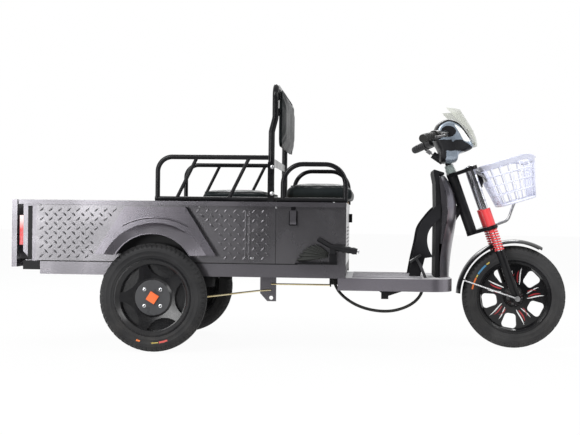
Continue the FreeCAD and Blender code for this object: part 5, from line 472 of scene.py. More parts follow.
# Stage
WHITE, FLOOR_TONE, CARD_TONE = (1.0, 1.0, 1.0), (0.86, 0.86, 0.86), (0.06, 0.06, 0.064)
FLOOR_GLOW, ROOM_LIGHT = 0.95, 0.55
FLOOR = (-30.0, 30.0, -30.0, 30.0, -0.001, -0.001)  # left, right, near, far, heights at the near and far edge
CARDS = {
    "dark_card": (-2.3, 7.0, -7.0, -7.0, 0.0, 5.0),
    "floor_card_0": (-2.6, -0.5, -1.0, -7.0, 0.003, 0.003),
    "floor_card_1": (1.15, 4.0, -1.0, -7.0, 0.003, 0.003),
}
SOFTBOXES = {  # place, aim, width, height, watts
    "key_softbox": ((-2.6, -3.6, 3.4), (-0.2, 0, 0.4), 2.6, 2.0, 170.0),
    "fill_softbox": ((3.4, -2.2, 2.6), (0.3, 0, 0.5), 2.0, 2.0, 60.0),
    "side_strip": ((-3.0, -6.4, 0.8), (-1.0, 0, 0.45), 1.2, 1.8, 85.0),
    "tail_softbox": ((-5.5, 1.4, 0.8), (-0.75, -0.38, 0.4), 2.0, 1.6, 45.0),
    "rear_softbox": ((0.2, 3.4, 3.2), (0, 0, 0.5), 3.0, 1.6, 90.0),
}


def stage_sheet(name, left, right, near, far, low, high):
    """A flat sheet of the stage: the sheet, its material's nodes and their surface socket."""
    corners = [(left, near, low), (right, near, low), (right, far, high), (left, far, high)]
    sheet = mesh_object(name, corners, [(0, 1, 2, 3)])
    material = bpy.data.materials.new(name)
    material.use_nodes = True
    sheet.data.materials.append(material)
    sheet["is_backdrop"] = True
    return sheet, Shade(material.node_tree), material.node_tree.nodes["Material Output"].inputs["Surface"]


# A pale floor that the camera sees lightened, with the object's shadow left in it
_, floor_shade, surface = stage_sheet("floor", *FLOOR)
rough_floor = floor_shade.add("BsdfDiffuse", {"Color": FLOOR_TONE}).outputs[0]
lightened = {0: floor_shade.times(floor_shade.seen(), FLOOR_GLOW), 1: rough_floor, 2: floor_shade.glow(WHITE)}
floor_shade.put(surface, floor_shade.add("MixShader", lightened).outputs[0])

# Dark cards that show only in the paint's shine
for name, sizes in CARDS.items():
    card, card_shade, surface = stage_sheet(name, *sizes)
    card_shade.put(surface, card_shade.glow(CARD_TONE))
    card.visible_camera = card.visible_shadow = card.visible_diffuse = card.visible_transmission = False

world = bpy.data.worlds.new("studio")
scene.world = world
world.use_nodes = True
world_shade = Shade(world.node_tree)
background = world.node_tree.nodes["Background"].inputs
world_shade.put(background["Color"], WHITE)
world_shade.put(background["Strength"], world_shade.span(world_shade.seen(), 0.0, 1.0, ROOM_LIGHT, 1.0))

for name, (where, aim, wide, high, power) in SOFTBOXES.items():
    lamp = stand(name, bpy.data.lights.new(name, "AREA"))
    lamp.data.shape = "RECTANGLE"
    lamp.data.size, lamp.data.size_y = wide, high
    lamp.data.energy = power
    lamp.location = where
    lamp.rotation_euler = (Vector(aim) - Vector(where)).to_track_quat("-Z", "Y").to_euler()


# Wiring hose
HOSE_ROUTE = [
    (698, 316), (698, 286), (706, 256), (725, 227), (757, 200), (797, 178), (843, 164), (890, 158),
    (934, 160), (972, 170), (1005, 185), (1031, 205), (1049, 230), (1056, 257), (1056, 284),
]
HOSE_SIDE = -185
HOSE_RADIUS = 0.006
hose_points = [place(x, HOSE_SIDE, z) for x, z in HOSE_ROUTE]
hose = stand("hose_line", bpy.data.curves.new("hose_line", "CURVE"))
hose.data.dimensions = "3D"
hose.data.resolution_u = 10
spline = hose.data.splines.new("NURBS")
spline.points.add(len(hose_points) - 1)
for control, point in zip(spline.points, hose_points):
    control.co = (*point, 1.0)
spline.order_u = 3
spline.use_endpoint_u = True
bare_line = bpy.data.meshes.new_from_object(hose)
bpy.data.meshes.remove(bare_line)
hose.data.bevel_depth = HOSE_RADIUS
hose.data.bevel_resolution = 5
hose.data.use_fill_caps = True
hose.data.materials.append(FINISH["rubber"])
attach(hose, "chassis")
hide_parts("wiring_hose")


# Mesh pieces. A part is a pair: its points and its faces
def finish_piece(thing, body, slot, replaces=(), smooth=True, finish=None):
    dress(thing, finish or slot)
    for face in thing.data.polygons:
        face.use_smooth = smooth
    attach(thing, body)
    if replaces:
        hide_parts(*replaces)
    return thing


def piece(name, part, body, slot, replaces=(), smooth=True, finish=None):
    """A new mesh that rides on a body and takes its slot's finish, or another."""
    return finish_piece(mesh_object(name, *part), body, slot, replaces, smooth, finish)


def skin(rows, size, start=0, closed=False, ring=True):
    """Faces between rows of points; closed joins the last row to the first, ring each row's ends."""
    faces = []
    for row in range(rows if closed else rows - 1):
        this, after = start + row * size, start + (row + 1) % rows * size
        for step in range(size if ring else size - 1):
            turn = (step + 1) % size
            faces.append((this + step, this + turn, after + turn, after + step))
    return faces


def caps(rows, size):
    """The two end faces of a stack of rings."""
    return [tuple(reversed(range(size))), tuple(range((rows - 1) * size, rows * size))]


def stack(points, size):
    """A part closed at both ends, of rings laid one on another."""
    rows = len(points) // size
    return points, skin(rows, size) + caps(rows, size)


def flipped(faces):
    return [(face[0],) + face[:0:-1] for face in faces]


def mirrored(faces, side):
    return faces if side == RIGHT else [face[::-1] for face in faces]


def join(parts):
    points, faces = [], []
    for more_points, more_faces in parts:
        shift = len(points)
        points.extend(more_points)
        faces.extend(tuple(index + shift for index in face) for face in more_faces)
    return points, faces


def circle(first, second, count):
    """Directions round a circle that starts at the first of two crossing directions."""
    angles = [ROUND * step / count for step in range(count)]
    return [first * math.cos(angle) + second * math.sin(angle) for angle in angles]


def turned(profile, count, centre, axle, side):
    """A closed profile of (along the axle, radius) pairs turned round an axle."""
    points = []
    for spoke in circle(side, axle.cross(side).normalized(), count):
        points.extend(centre + axle * along + spoke * radius for along, radius in profile)
    return points, skin(count, len(profile), closed=True)


def tube(path, radius, sides=10, closed=False):
    """A round tube along a path of points."""
    points = []
    count = len(path)
    side = None
    for index, point in enumerate(path):
        ahead = path[(index + 1) % count] if closed or index < count - 1 else point
        behind = path[index - 1] if closed or index else point
        run = (ahead - behind).normalized()
        side = side or run.orthogonal().normalized()
        side = (side - run * side.dot(run)).normalized()
        points.extend(point + spoke * radius for spoke in circle(side, run.cross(side), sides))
    return (points, skin(count, sides, closed=True)) if closed else stack(points, sides)


def block(low, high):
    """A plain box between two corners."""
    points = [Vector((x, y, z)) for x in (low.x, high.x) for y in (low.y, high.y) for z in (low.z, high.z)]
    return points, [(0, 1, 3, 2), (4, 6, 7, 5), (0, 4, 5, 1), (2, 3, 7, 6), (0, 2, 6, 4), (1, 5, 7, 3)]


def ripple(share, count):
    """Folds between 0 and 1, a number of them along a share."""
    return 0.5 - 0.5 * math.cos(ROUND * count * share)


def polar(centre, radius, angle, out):
    """A point beside a wheel's centre plane."""
    return centre + Vector((radius * math.cos(angle), out, radius * math.sin(angle)))


def between(table, value):
    """The first column of a table at a value of its second, which falls from row to row."""
    for (out_a, high), (out_b, low) in zip(table, table[1:]):
        if low <= value <= high:
            return mix(out_a, out_b, (high - value) / (high - low))
    return None


# Tread plate
LUG_PITCH, LUG_MARGIN = 0.037, 0.00903
LUG_LONG, LUG_WIDE, LUG_HIGH = 0.0215, 0.0064, 0.0012
LUG_SUNK = 0.0003
LUG_STATIONS = (-0.55, 0.0, 0.55)
PLATE_FRONT_X, PANEL_REAR_X = 468, -484
PANEL_LOW_Z, PANEL_HIGH_Z = 349, 572
ARCH_MIDDLE_Z = 0.36
ARCH_HALF_LONG, ARCH_HALF_HIGH = 0.262, 0.222


def lug(middle, along, across, out):
    """One lens-shaped lug: two tips, and a left edge, crown and right edge at each station."""
    half = LUG_LONG / 2
    sunk = out * LUG_SUNK
    points = [middle - along * half - sunk]
    for station in LUG_STATIONS:
        spread = across * (LUG_WIDE / 2 * (1 - station * station))
        spine = middle + along * half * station
        crown = spine + out * LUG_HIGH * (1 - 0.5 * station * station)
        points += [spine - spread - sunk, crown, spine + spread - sunk]
    points.append(middle + along * half - sunk)
    last = len(points) - 1
    tips = [(0, 2, 1), (0, 3, 2), (last, last - 3, last - 2), (last, last - 2, last - 1)]
    return points, skin(len(LUG_STATIONS), 3, 1, ring=False) + tips


def lug_field(name, corner, run, rise, out, wide, high, clear=None):
    """Two crossing sets of lugs over a sheet, from its corner."""
    lugs = []
    for row in range(int(2 * high / LUG_PITCH) + 1):
        for column in range(row % 2, int(2 * wide / LUG_PITCH) + 1, 2):
            u, v = column * LUG_PITCH / 2, row * LUG_PITCH / 2
            middle = corner + run * u + rise * v
            inside = LUG_MARGIN < u < wide - LUG_MARGIN and LUG_MARGIN < v < high - LUG_MARGIN
            if inside and not (clear and clear(middle)):
                along = (run + rise * (1 if row % 2 else -1)).normalized()
                lugs.append(lug(middle, along, along.cross(out), out))
    piece(name, join(lugs), "chassis", "checker_paint")


def under_arch(point):
    long = (point.x - REAR_AXLE_X) / ARCH_HALF_LONG
    high = (point.z - ARCH_MIDDLE_Z) / ARCH_HALF_HIGH
    return long * long + high * high < 1


def outer_face(node_name, side, x, z):
    """A point on a node's outermost face on one side."""
    spot = place(x, 0, z)
    spot.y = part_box(node_name)[0 if side == RIGHT else 1].y
    return spot


for side, hand in HANDS:
    lug_field(
        "tread_lugs_" + hand, outer_face("side_panel_" + hand, side, PANEL_REAR_X, PANEL_LOW_Z),
        X_WAY, Z_WAY, Y_WAY * side,
        (PLATE_FRONT_X - PANEL_REAR_X) / 1000, (PANEL_HIGH_Z - PANEL_LOW_Z) / 1000, under_arch,
    )
floor_low, floor_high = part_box("bed_floor")
lug_field(
    "tread_lugs_floor", Vector((floor_low.x, floor_low.y, floor_high.z)), X_WAY, Y_WAY, Z_WAY,
    floor_high.x - floor_low.x, floor_high.y - floor_low.y,
)


# Tyres
TYRE_RADIUS = 0.2125
BLOCKS, STEPS_PER_BLOCK = 64, 6
GROOVE_DEEP, RIB_CUT, CENTRE_CUT = 0.0035, 0.8, 0.7
SIPE_STEPS, RIB_STEP = (0, 1), 3
TREAD_COLUMNS = (1.0, 0.93, 0.8, 0.62, 0.52, 0.44, 0.3, 0.16, 0.1, 0.0)
SHOULDER, RIB_OUTER, RIB_INNER, CENTRE_LINE = 0.62, 0.44, 0.16, 0.1
WALL = [
    (0.0285, 0.1935), (0.0298, 0.1885), (0.0300, 0.1840), (0.0306, 0.1826), (0.0306, 0.1806), (0.0299, 0.1792),
    (0.0296, 0.1720), (0.0288, 0.1660), (0.0292, 0.1648), (0.0290, 0.1632), (0.0276, 0.1620), (0.0262, 0.1575),
    (0.0258, 0.1545), (0.0240, 0.1523), (0.0177, 0.1446),
]
CROWN_HALF, CROWN_DROP, CROWN_POWER = 0.0262, 0.0142, 2.4
SMOOTH_RADIUS = 0.195
WHEELS = {  # middle, body, node of the tyre, finish
    "right": (place(0, -365, AXLE_HIGH), "rear_wheel_right", "rear_tyre_right", "tyre_dark"),
    "left": (place(0, 365, AXLE_HIGH), "rear_wheel_left", "rear_tyre_left", "tyre_dark"),
    "front": (place(1440, 0, AXLE_HIGH), "front_wheel", "front_tyre", "tyre"),
}


def groove(share, side, step):
    """How far the tread is cut at a share of its half width, at one step round the tyre."""
    shift = STEPS_PER_BLOCK // 2 if side == LEFT else 0
    block_number, place_in_block = divmod(step + shift, STEPS_PER_BLOCK)
    if share >= SHOULDER:
        return GROOVE_DEEP if place_in_block in SIPE_STEPS else 0.0
    if share > RIB_OUTER:
        return GROOVE_DEEP
    if share >= RIB_INNER:
        return GROOVE_DEEP * RIB_CUT if place_in_block == RIB_STEP and block_number % 2 else 0.0
    return GROOVE_DEEP * CENTRE_CUT if share == CENTRE_LINE else 0.0


def tread(share, side, step):
    radius = TYRE_RADIUS - CROWN_DROP * share ** CROWN_POWER
    return side * CROWN_HALF * share, radius - groove(share, side, step)


def build_tyre(name, centre, body, node_name, finish):
    count = BLOCKS * STEPS_PER_BLOCK
    points = []
    for step, spoke in enumerate(circle(X_WAY, Z_WAY, count)):
        section = [(-along, radius) for along, radius in reversed(WALL)]
        section += [tread(share, RIGHT, step) for share in TREAD_COLUMNS]
        section += [tread(share, LEFT, step) for share in reversed(TREAD_COLUMNS[:-1])]
        section += WALL
        points.extend(centre + Y_WAY * along + spoke * radius for along, radius in section)
    part = points, flipped(skin(count, len(section), closed=True))
    tyre = piece(name, part, body, "tyre", [node_name], finish=finish)
    for face in tyre.data.polygons:
        off = face.center - centre
        face.use_smooth = (off - Y_WAY * off.y).length < SMOOTH_RADIUS


for wheel, wheel_row in WHEELS.items():
    build_tyre("tread_tyre_" + wheel, *wheel_row)


# Fork springs
UP_FORK = Vector((-0.3338, 0, 0.9426)).normalized()
FORK_FOOT = WHEELS["front"][0]
LEG_SIDE = 0.085
SPRING_LOW, SPRING_HIGH = 0.2053, 0.2977
COIL_RADIUS, WIRE_RADIUS = 0.0162, 0.0036
COIL_TURNS, STEPS_PER_TURN = 9, 20
CLOSED_END = 0.06


def wind_spring(side):
    """A coil with closed ends round one fork leg."""
    ahead = UP_FORK.cross(Y_WAY).normalized()
    path = []
    for share in shares(COIL_TURNS * STEPS_PER_TURN):
        angle = ROUND * COIL_TURNS * share
        rise = min(1.0, max(0.0, (share - CLOSED_END) / (1 - 2 * CLOSED_END)))
        level = mix(SPRING_LOW + WIRE_RADIUS, SPRING_HIGH - WIRE_RADIUS, rise)
        middle = FORK_FOOT + Y_WAY * side * LEG_SIDE + UP_FORK * level
        path.append(middle + (ahead * math.cos(angle) + Y_WAY * math.sin(angle)) * COIL_RADIUS)
    return tube(path, WIRE_RADIUS)


springs = piece(
    "coil_springs", join([wind_spring(RIGHT), wind_spring(LEFT)]), "steering", "red_spring", ["fork_springs"]
)
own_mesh(springs)


# Bellows
BELLOWS_LOW, BELLOWS_HIGH = 0.569, 0.605
BELLOWS_RIBS, STEPS_PER_FOLD = 6, 8
BELLOWS_BORE, BELLOWS_WIDE, BELLOWS_TAPER, BELLOWS_DEEP = 0.0135, 0.0235, 0.004, 0.0042
BELLOWS_SIDES = 48
STEM_BACK = 0.076


def gather_bellows():
    foot = FORK_FOOT + Vector((-UP_FORK.z, 0, UP_FORK.x)) * STEM_BACK
    profile = [(BELLOWS_LOW, BELLOWS_BORE)]
    for share in shares(BELLOWS_RIBS * STEPS_PER_FOLD):
        radius = BELLOWS_WIDE - BELLOWS_TAPER * share - BELLOWS_DEEP * (1 - ripple(share, BELLOWS_RIBS))
        profile.append((mix(BELLOWS_LOW, BELLOWS_HIGH, share), radius))
    profile.append((BELLOWS_HIGH, BELLOWS_BORE))
    part = turned(profile, BELLOWS_SIDES, foot, UP_FORK, Y_WAY)
    piece("stem_gaiter", part, "steering", "rubber", ["bellows"], finish="gaiter_rubber")


gather_bellows()


# Parking-brake boot
BOOT_X, BOOT_Z = 700, 381
BOOT_MIDDLE_Y, BOOT_HALF = -345, 18
BOOT_BASE_Z, BOOT_LIFT = 355, 0.4
BOOT_TOP_ANGLE = math.radians(37)
BOOT_TOP_LONG, BOOT_LOW_LONG, BOOT_POWER = 78, 147, 1.15
BOOT_ROOT, BOOT_NECK = 22, 36
BOOT_PLEATS = 6


def boot_ring(reach, wide):
    """Half of a pleat's outline, then its mirror, as (out from the pivot, across) pairs."""
    half = [(BOOT_ROOT, 0.75), (BOOT_NECK, 1.0), (reach * 0.7, 1.0), (reach * 0.93, 0.9), (reach, 0.55)]
    return [(out, wide * k) for out, k in half] + [(out, -wide * k) for out, k in reversed(half)]


def fold_boot():
    """A fan of pleats from the base up to the lever."""
    low_angle = -math.asin((BOOT_Z - BOOT_BASE_Z - 1) / BOOT_LOW_LONG)
    points = []
    for share in shares(BOOT_PLEATS * STEPS_PER_FOLD):
        angle = mix(low_angle, BOOT_TOP_ANGLE, share)
        fold = ripple(share, BOOT_PLEATS)
        reach = mix(BOOT_LOW_LONG, BOOT_TOP_LONG, share ** BOOT_POWER) * (0.9 + 0.1 * fold)
        ring = boot_ring(reach, BOOT_HALF * (0.8 + 0.2 * fold))
        for out, across in ring:
            z = max(BOOT_BASE_Z + BOOT_LIFT, BOOT_Z + out * math.sin(angle))
            points.append(place(BOOT_X - out * math.cos(angle), BOOT_MIDDLE_Y + across, z))
    part = stack(points, len(ring))
    boot = piece("pleated_boot", part, "chassis", "rubber", ["brake_boot"], finish="boot_rubber")
    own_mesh(boot)


fold_boot()


# Leaf springs
leaves = stand("leaf_packs", NODES["leaf_springs"].data.copy())
finish_piece(leaves, "chassis", "frame_black", ["leaf_springs"], smooth=False)
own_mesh(leaves)


# Cushions
FILL_FRAMES = 20
COVER = {
    "use_pressure": True, "vertex_group_mass": "held",
    "tension_stiffness": 60, "compression_stiffness": 60, "bending_stiffness": 10,
}
PAD_VOXEL, HELD_SHARE = 0.005, 0.6
CALM_FACTOR, CALM_ROUNDS = 0.5, 4
WELT_RADIUS, WELT_BAND, WELT_STEPS = 0.0022, 0.004, 120
PAD_BACK = 0.008


def corners_of(points):
    return [Vector([pick(point[i] for point in points) for i in range(3)]) for pick in (min, max)]


def shells_of(node_name):
    """The separate closed shells of a CAD node as parts, largest first."""
    whole = bmesh.new()
    whole.from_mesh(NODES[node_name].data)
    bmesh.ops.remove_doubles(whole, verts=whole.verts, dist=1e-6)
    left = set(whole.verts)
    parts = []
    while left:
        front = [left.pop()]
        found = set(front)
        while front:
            vertex = front.pop()
            near = {edge.other_vert(vertex) for edge in vertex.link_edges} & left
            left -= near
            found |= near
            front.extend(near)
        order = sorted(found, key=lambda vertex: vertex.index)
        number = {vertex: index for index, vertex in enumerate(order)}
        faces = [tuple(number[v] for v in face.verts) for face in whole.faces if face.verts[0] in found]
        parts.append(([vertex.co.copy() for vertex in order], faces))
    whole.free()

    def bulk(part):
        low, high = corners_of(part[0])
        return math.prod(high - low)

    return sorted(parts, key=bulk, reverse=True)


def applied_mesh(thing):
    """Makes what an object's modifiers show its own mesh."""
    bpy.context.view_layer.update()
    made = bpy.data.meshes.new_from_object(thing.evaluated_get(bpy.context.evaluated_depsgraph_get()))
    thing.modifiers.clear()
    old = thing.data
    thing.data = made
    bpy.data.meshes.remove(old)
    return made


def blow_up(pad, axis, level, cap, pressure):
    """Fills a pad as cloth under pressure, held where it rests; no point moves beyond the cap."""
    start = pad.data.vertices
    before = [vertex.co.copy() for vertex in start]
    held = pad.vertex_groups.new(name="held")
    held.add([v.index for v in start if abs(v.co[axis] - level) < PAD_VOXEL * HELD_SHARE], 1.0, "REPLACE")
    cloth = pad.modifiers.new("fill", "CLOTH")
    cloth.settings.uniform_pressure_force = pressure
    cloth.settings.effector_weights.gravity = 0
    for name, value in COVER.items():
        setattr(cloth.settings, name, value)
    cloth.point_cache.frame_start, cloth.point_cache.frame_end = 1, FILL_FRAMES
    for number in range(1, FILL_FRAMES + 1):
        scene.frame_set(number)
    for vertex, was in zip(applied_mesh(pad).vertices, before):
        move = vertex.co - was
        if move.length > cap:
            vertex.co = was + move * (cap / move.length)
    scene.frame_set(1)
    calm = pad.modifiers.new("calm", "SMOOTH")
    calm.factor = CALM_FACTOR
    calm.iterations = CALM_ROUNDS


def stuff(name, node_name, body, shrink, cap, pressure, axis, level, set_back):
    """The pad's own form made a little smaller, skinned, blown up and left flat where it rests."""
    points, faces = shells_of(node_name)[0]
    low, high = corners_of(points)
    rest = (low + high) / 2
    rest[axis] = level
    small = [Vector([rest[i] + (point[i] - rest[i]) * shrink[i] for i in range(3)]) for point in points]
    for point in small:
        point[axis] -= set_back
    pad = mesh_object(name, small, faces)
    cover = pad.modifiers.new("cover", "REMESH")
    cover.mode = "VOXEL"
    cover.voxel_size = PAD_VOXEL
    applied_mesh(pad)
    blow_up(pad, axis, level - set_back, cap, pressure)
    soft = pad.modifiers.new("soft", "SUBSURF")
    soft.levels = soft.render_levels = 1
    applied_mesh(pad)
    finish_piece(pad, body, "vinyl", [node_name])
    return pad


def welt(name, pad, body, axis, level):
    """A sewn welt round a cushion at one level."""
    first, second = [i for i in range(3) if i != axis]
    band = [v.co for v in pad.data.vertices if abs(v.co[axis] - level) < WELT_BAND]
    low, high = corners_of(band)
    middle = (low + high) / 2
    edge = {}
    for point in band:
        u, v = point[first] - middle[first], point[second] - middle[second]
        index = int((math.atan2(v, u) / ROUND % 1) * WELT_STEPS) % WELT_STEPS
        far = math.hypot(u, v)
        if index not in edge or far > edge[index][0]:
            edge[index] = (far, point.copy())
    path = [edge[index][1] for index in sorted(edge)]
    for point in path:
        point[axis] = level
    piece(name, tube(path, WELT_RADIUS, 8, closed=True), body, "vinyl")


def cushion(name, fittings, node_name, body, shrink, cap, pressure, axis, level, seam, set_back=0.0):
    pad = stuff(name, node_name, body, shrink, cap, pressure, axis, level, set_back)
    shells = shells_of(node_name)[1:]
    if shells:
        piece(fittings, join(shells), body, "black_paint", smooth=False)
    welt(name + "_welt", pad, body, axis, seam)


seat_low, seat_high = (corner.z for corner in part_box("seat_cushion"))
bench_low = corners_of(shells_of("bench_cushion")[0][0])[0].z
bench_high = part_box("bench_cushion")[1].z
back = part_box("backrest_pad")[0].x
cushion(
    "driver_pad", "driver_pad_fittings", "seat_cushion", "seat",
    (0.985, 0.99, 0.95), 0.003, 2.0, 2, seat_low, seat_high - 0.013,
)
cushion(
    "bench_pad", "bench_fittings", "bench_cushion", "bench",
    (0.985, 0.99, 0.94), 0.003, 2.0, 2, bench_low, bench_high - 0.011,
)
cushion(
    "back_pad", "back_pad_fittings", "backrest_pad", "chassis",
    (0.46, 0.985, 0.975), 0.008, 4.0, 0, back, back + 0.012 - PAD_BACK, PAD_BACK,
)


# Painted strokes on the front wheel
SPOKE_START, SPOKES = math.radians(81), 5
PAINT_THICK = 0.0004
STROKE_STEPS, STROKE_BEND, STROKE_TIP, STROKE_POWER = 10, 0.05, 0.12, 0.7
STROKES = (  # finish, inner and outer radius, turn at each, half width
    ("stroke_white", 0.056, 0.126, -0.26, -0.10, 0.0026),
    ("stroke_white", 0.056, 0.112, 0.10, 0.22, 0.0022),
    ("stroke_red", 0.060, 0.112, -0.10, -0.03, 0.0030),
    ("stroke_red", 0.060, 0.098, 0.22, 0.12, 0.0022),
)
DISC_EDGE, DISC_SWELL = (0.0035, 0.132), (0.004, 0.088)


def spoke_face(radius):
    """How far the front wheel's disc stands off the centre plane at a radius."""
    return DISC_EDGE[0] + DISC_SWELL[0] * (DISC_EDGE[1] - radius) / DISC_SWELL[1]


def stroke(base, side, inner, outer, turn_in, turn_out, wide):
    points = []
    for share in shares(STROKE_STEPS):
        radius = mix(inner, outer, share)
        bend = mix(turn_in, turn_out, share) + STROKE_BEND * math.sin(math.pi * share)
        thick = math.sin(math.pi * min(1.0, mix(STROKE_TIP, 1, share)))
        half = wide * thick ** STROKE_POWER
        for edge in (-1, 1):
            angle = base + bend + edge * half / radius
            points.append(polar(FORK_FOOT, radius, angle, side * (spoke_face(radius) + PAINT_THICK)))
    return points, mirrored(skin(STROKE_STEPS + 1, 2, ring=False), side)


for paint in ("stroke_white", "stroke_red"):
    strokes = []
    for spoke_number in range(SPOKES):
        base = SPOKE_START + ROUND * spoke_number / SPOKES
        for row in STROKES:
            if row[0] == paint:
                strokes += [stroke(base, side, *row[1:]) for side in SIDES]
    piece(paint + "s", join(strokes), "front_wheel", "rim_black", finish=paint)


# Cowl
COWL_OUTLINE = [
    (1152, 947), (1114, 925), (1102, 890), (1104, 850), (1122, 812), (1130, 768), (1192, 768), (1206, 800),
    (1236, 814), (1262, 828), (1259, 851), (1219, 913), (1190, 938),
]
COWL_MIDDLE = Vector((1178, 860))
COWL_HALF = 88
COWL_SECTIONS = (  # share of the half width, size
    (0.0, 1.0), (0.36, 0.995), (0.6, 0.98), (0.78, 0.95), (0.9, 0.9), (0.97, 0.83), (1.0, 0.74), (0.994, 0.66),
    (0.988, 0.58), (0.983, 0.5), (0.979, 0.42), (0.975, 0.34), (0.972, 0.26), (0.970, 0.18), (0.969, 0.1),
)
# The cowl's underside below this line is painted black as shade, except at the neck column.
UNDER_Z, UNDER_SLOPE_X, UNDER_SLOPE = 858, 1213, 0.66
COLUMN_X, COLUMN_Z = 1150, 812
DASH_SHARE = 0.84
DASH_FROM, DASH_TO = math.radians(2), math.radians(165)
PATCH_RINGS = (  # size, share of the lift
    (1.0, -1.5), (0.99, 0.4), (0.95, 1.0), (0.85, 1.0), (0.65, 1.0), (0.4, 1.0), (0.15, 1.0),
)
RECESS_MIDDLE, RECESS_REACH, RECESS_STEPS = Vector((1158, 892)), (31, 23), 40
LENS_CORNERS = [(1182, 920), (1212, 903), (1236, 872), (1248, 852), (1222, 854), (1204, 884)]
SURROUND_LIFT, LENS_LIFT = 0.6, 1.2


def rounded_loop(corners, per_side):
    """A smooth closed line through corner points."""
    loop = []
    count = len(corners)
    for index in range(count):
        a, b, c, d = (Vector(corners[(index + k) % count]) for k in (-1, 0, 1, 2))
        for step in range(per_side):
            t = step / per_side
            square, cube = 2 * a - 5 * b + 4 * c - d, 3 * b - a - 3 * c + d
            loop.append(0.5 * (2 * b + (c - a) * t + square * t * t + cube * t ** 3))
    return loop


COWL_LOOP = rounded_loop(COWL_OUTLINE, 12)


def heading_of(corner):
    reach = corner - COWL_MIDDLE
    return math.atan2(reach.y, reach.x)


def cowl_share(at):
    """Where a point of the cowl's side lies from its middle, 0, to its outline, 1, and its direction."""
    heading = heading_of(at)

    def off(corner):
        turn = abs(heading_of(corner) - heading)
        return min(turn, ROUND - turn)

    edge = (min(COWL_LOOP, key=off) - COWL_MIDDLE).length
    return min(1.0, (at - COWL_MIDDLE).length / edge), heading


def cowl_side(at):
    """How far the cowl's skin stands from its centre plane at a point of its side, in millimetres."""
    out = between(COWL_SECTIONS, cowl_share(at)[0])
    return COWL_HALF * (COWL_SECTIONS[-1][0] if out is None else out)


def form_cowl():
    sections = [(-share, size) for share, size in reversed(COWL_SECTIONS)] + list(COWL_SECTIONS[1:])
    points = []
    for share, size in sections:
        for corner in COWL_LOOP:
            at = COWL_MIDDLE + (corner - COWL_MIDDLE) * size
            points.append(place(at.x, share * COWL_HALF, at.y))
    return piece("cowl_shell", stack(points, len(COWL_LOOP)), "steering", "cowl_paint", ["cowl"])


def in_underside_shade_or_dash(x, z):
    """Whether a place on the cowl lies in its underside, painted black as shade, or on the black dash along its top.
    """
    under = z < UNDER_Z - max(0.0, x - UNDER_SLOPE_X) * UNDER_SLOPE
    column = x > COLUMN_X and z < COLUMN_Z
    share, heading = cowl_share(Vector((x, z)))
    return (under and not column) or (share > DASH_SHARE and DASH_FROM < heading < DASH_TO)


def lay_patch(name, outline, side, lift, slot):
    """A thin moulding that follows the cowl's side inside an outline, its edge tucked into the skin."""
    middle = sum(outline, Vector((0, 0))) / len(outline)
    points = []
    for shrink, proud in PATCH_RINGS:
        for corner in outline:
            at = middle + (corner - middle) * shrink
            points.append(place(at.x, side * (cowl_side(at) + lift * proud), at.y))
    rows, count = len(PATCH_RINGS), len(outline)
    piece(name, (points, mirrored(skin(rows, count) + caps(rows, count)[1:], side)), "steering", slot)


cowl_shell = form_cowl()
# Faces of the underside take black plastic as painted shade; those along the top are the black dash.
cowl_shell.data.materials.append(FINISH["black_plastic"])
for face in cowl_shell.data.polygons:
    if in_underside_shade_or_dash((face.center.x - REAR_AXLE_X) * 1000, face.center.z * 1000):
        face.material_index = 1

recess_ways = circle(Vector((RECESS_REACH[0], 0)), Vector((0, RECESS_REACH[1])), RECESS_STEPS)
recess_outline = [RECESS_MIDDLE + way for way in recess_ways]
for side, hand in HANDS:
    lay_patch("switch_surround_" + hand, recess_outline, side, SURROUND_LIFT, "black_plastic")
    lay_patch("side_lens_" + hand, rounded_loop(LENS_CORNERS, 6), side, LENS_LIFT, "lens")


# Basket
BASKET_FOOT = place(1442, 0, 608)
BASKET_TILT = Matrix.Rotation(math.radians(-17), 3, "Y")
BASKET_LOW, BASKET_HIGH = (0.0685, 0.141), (0.1025, 0.175)
BASKET_DEEP, BASKET_CORNER, BASKET_DIP = 0.178, 0.046, 0.026
DIP_FROM = 0.55
BAR, BAR_SIDES = 0.0027, 6
UPRIGHTS, UPRIGHT_SHARES = 26, (0.0, 0.3, 0.6, 0.93)
THICK_EVERY, THICK_AT, THICK_BAR = 6, 4, 1.9
HOOP_SHARES, HOOP_STEPS = (0.25, 0.48, 0.7), 112
BANDS = (  # the foot and the rolled rim, as (share of the height, growth) pairs
    ((-0.02, 0.002), (0.0, 0.0035), (0.035, 0.003), (0.035, -0.002), (0.0, -0.002)),
    ((0.88, 0.0025), (0.98, 0.003), (0.985, 0.0075), (1.0, 0.0078), (1.008, 0.004), (1.0, -0.002), (0.88, -0.002)),
)
FLOOR_X, FLOOR_Y = BASKET_LOW[0] - 0.001, BASKET_LOW[1] - 0.001
FLOOR_BARS = (  # way of the bars, way across them, half length, half width, bars each side, spacing divisor
    (X_WAY, Y_WAY, FLOOR_X, FLOOR_Y, 6, 6.6),
    (Y_WAY, X_WAY, FLOOR_Y, FLOOR_X, 2, 2.6),
)


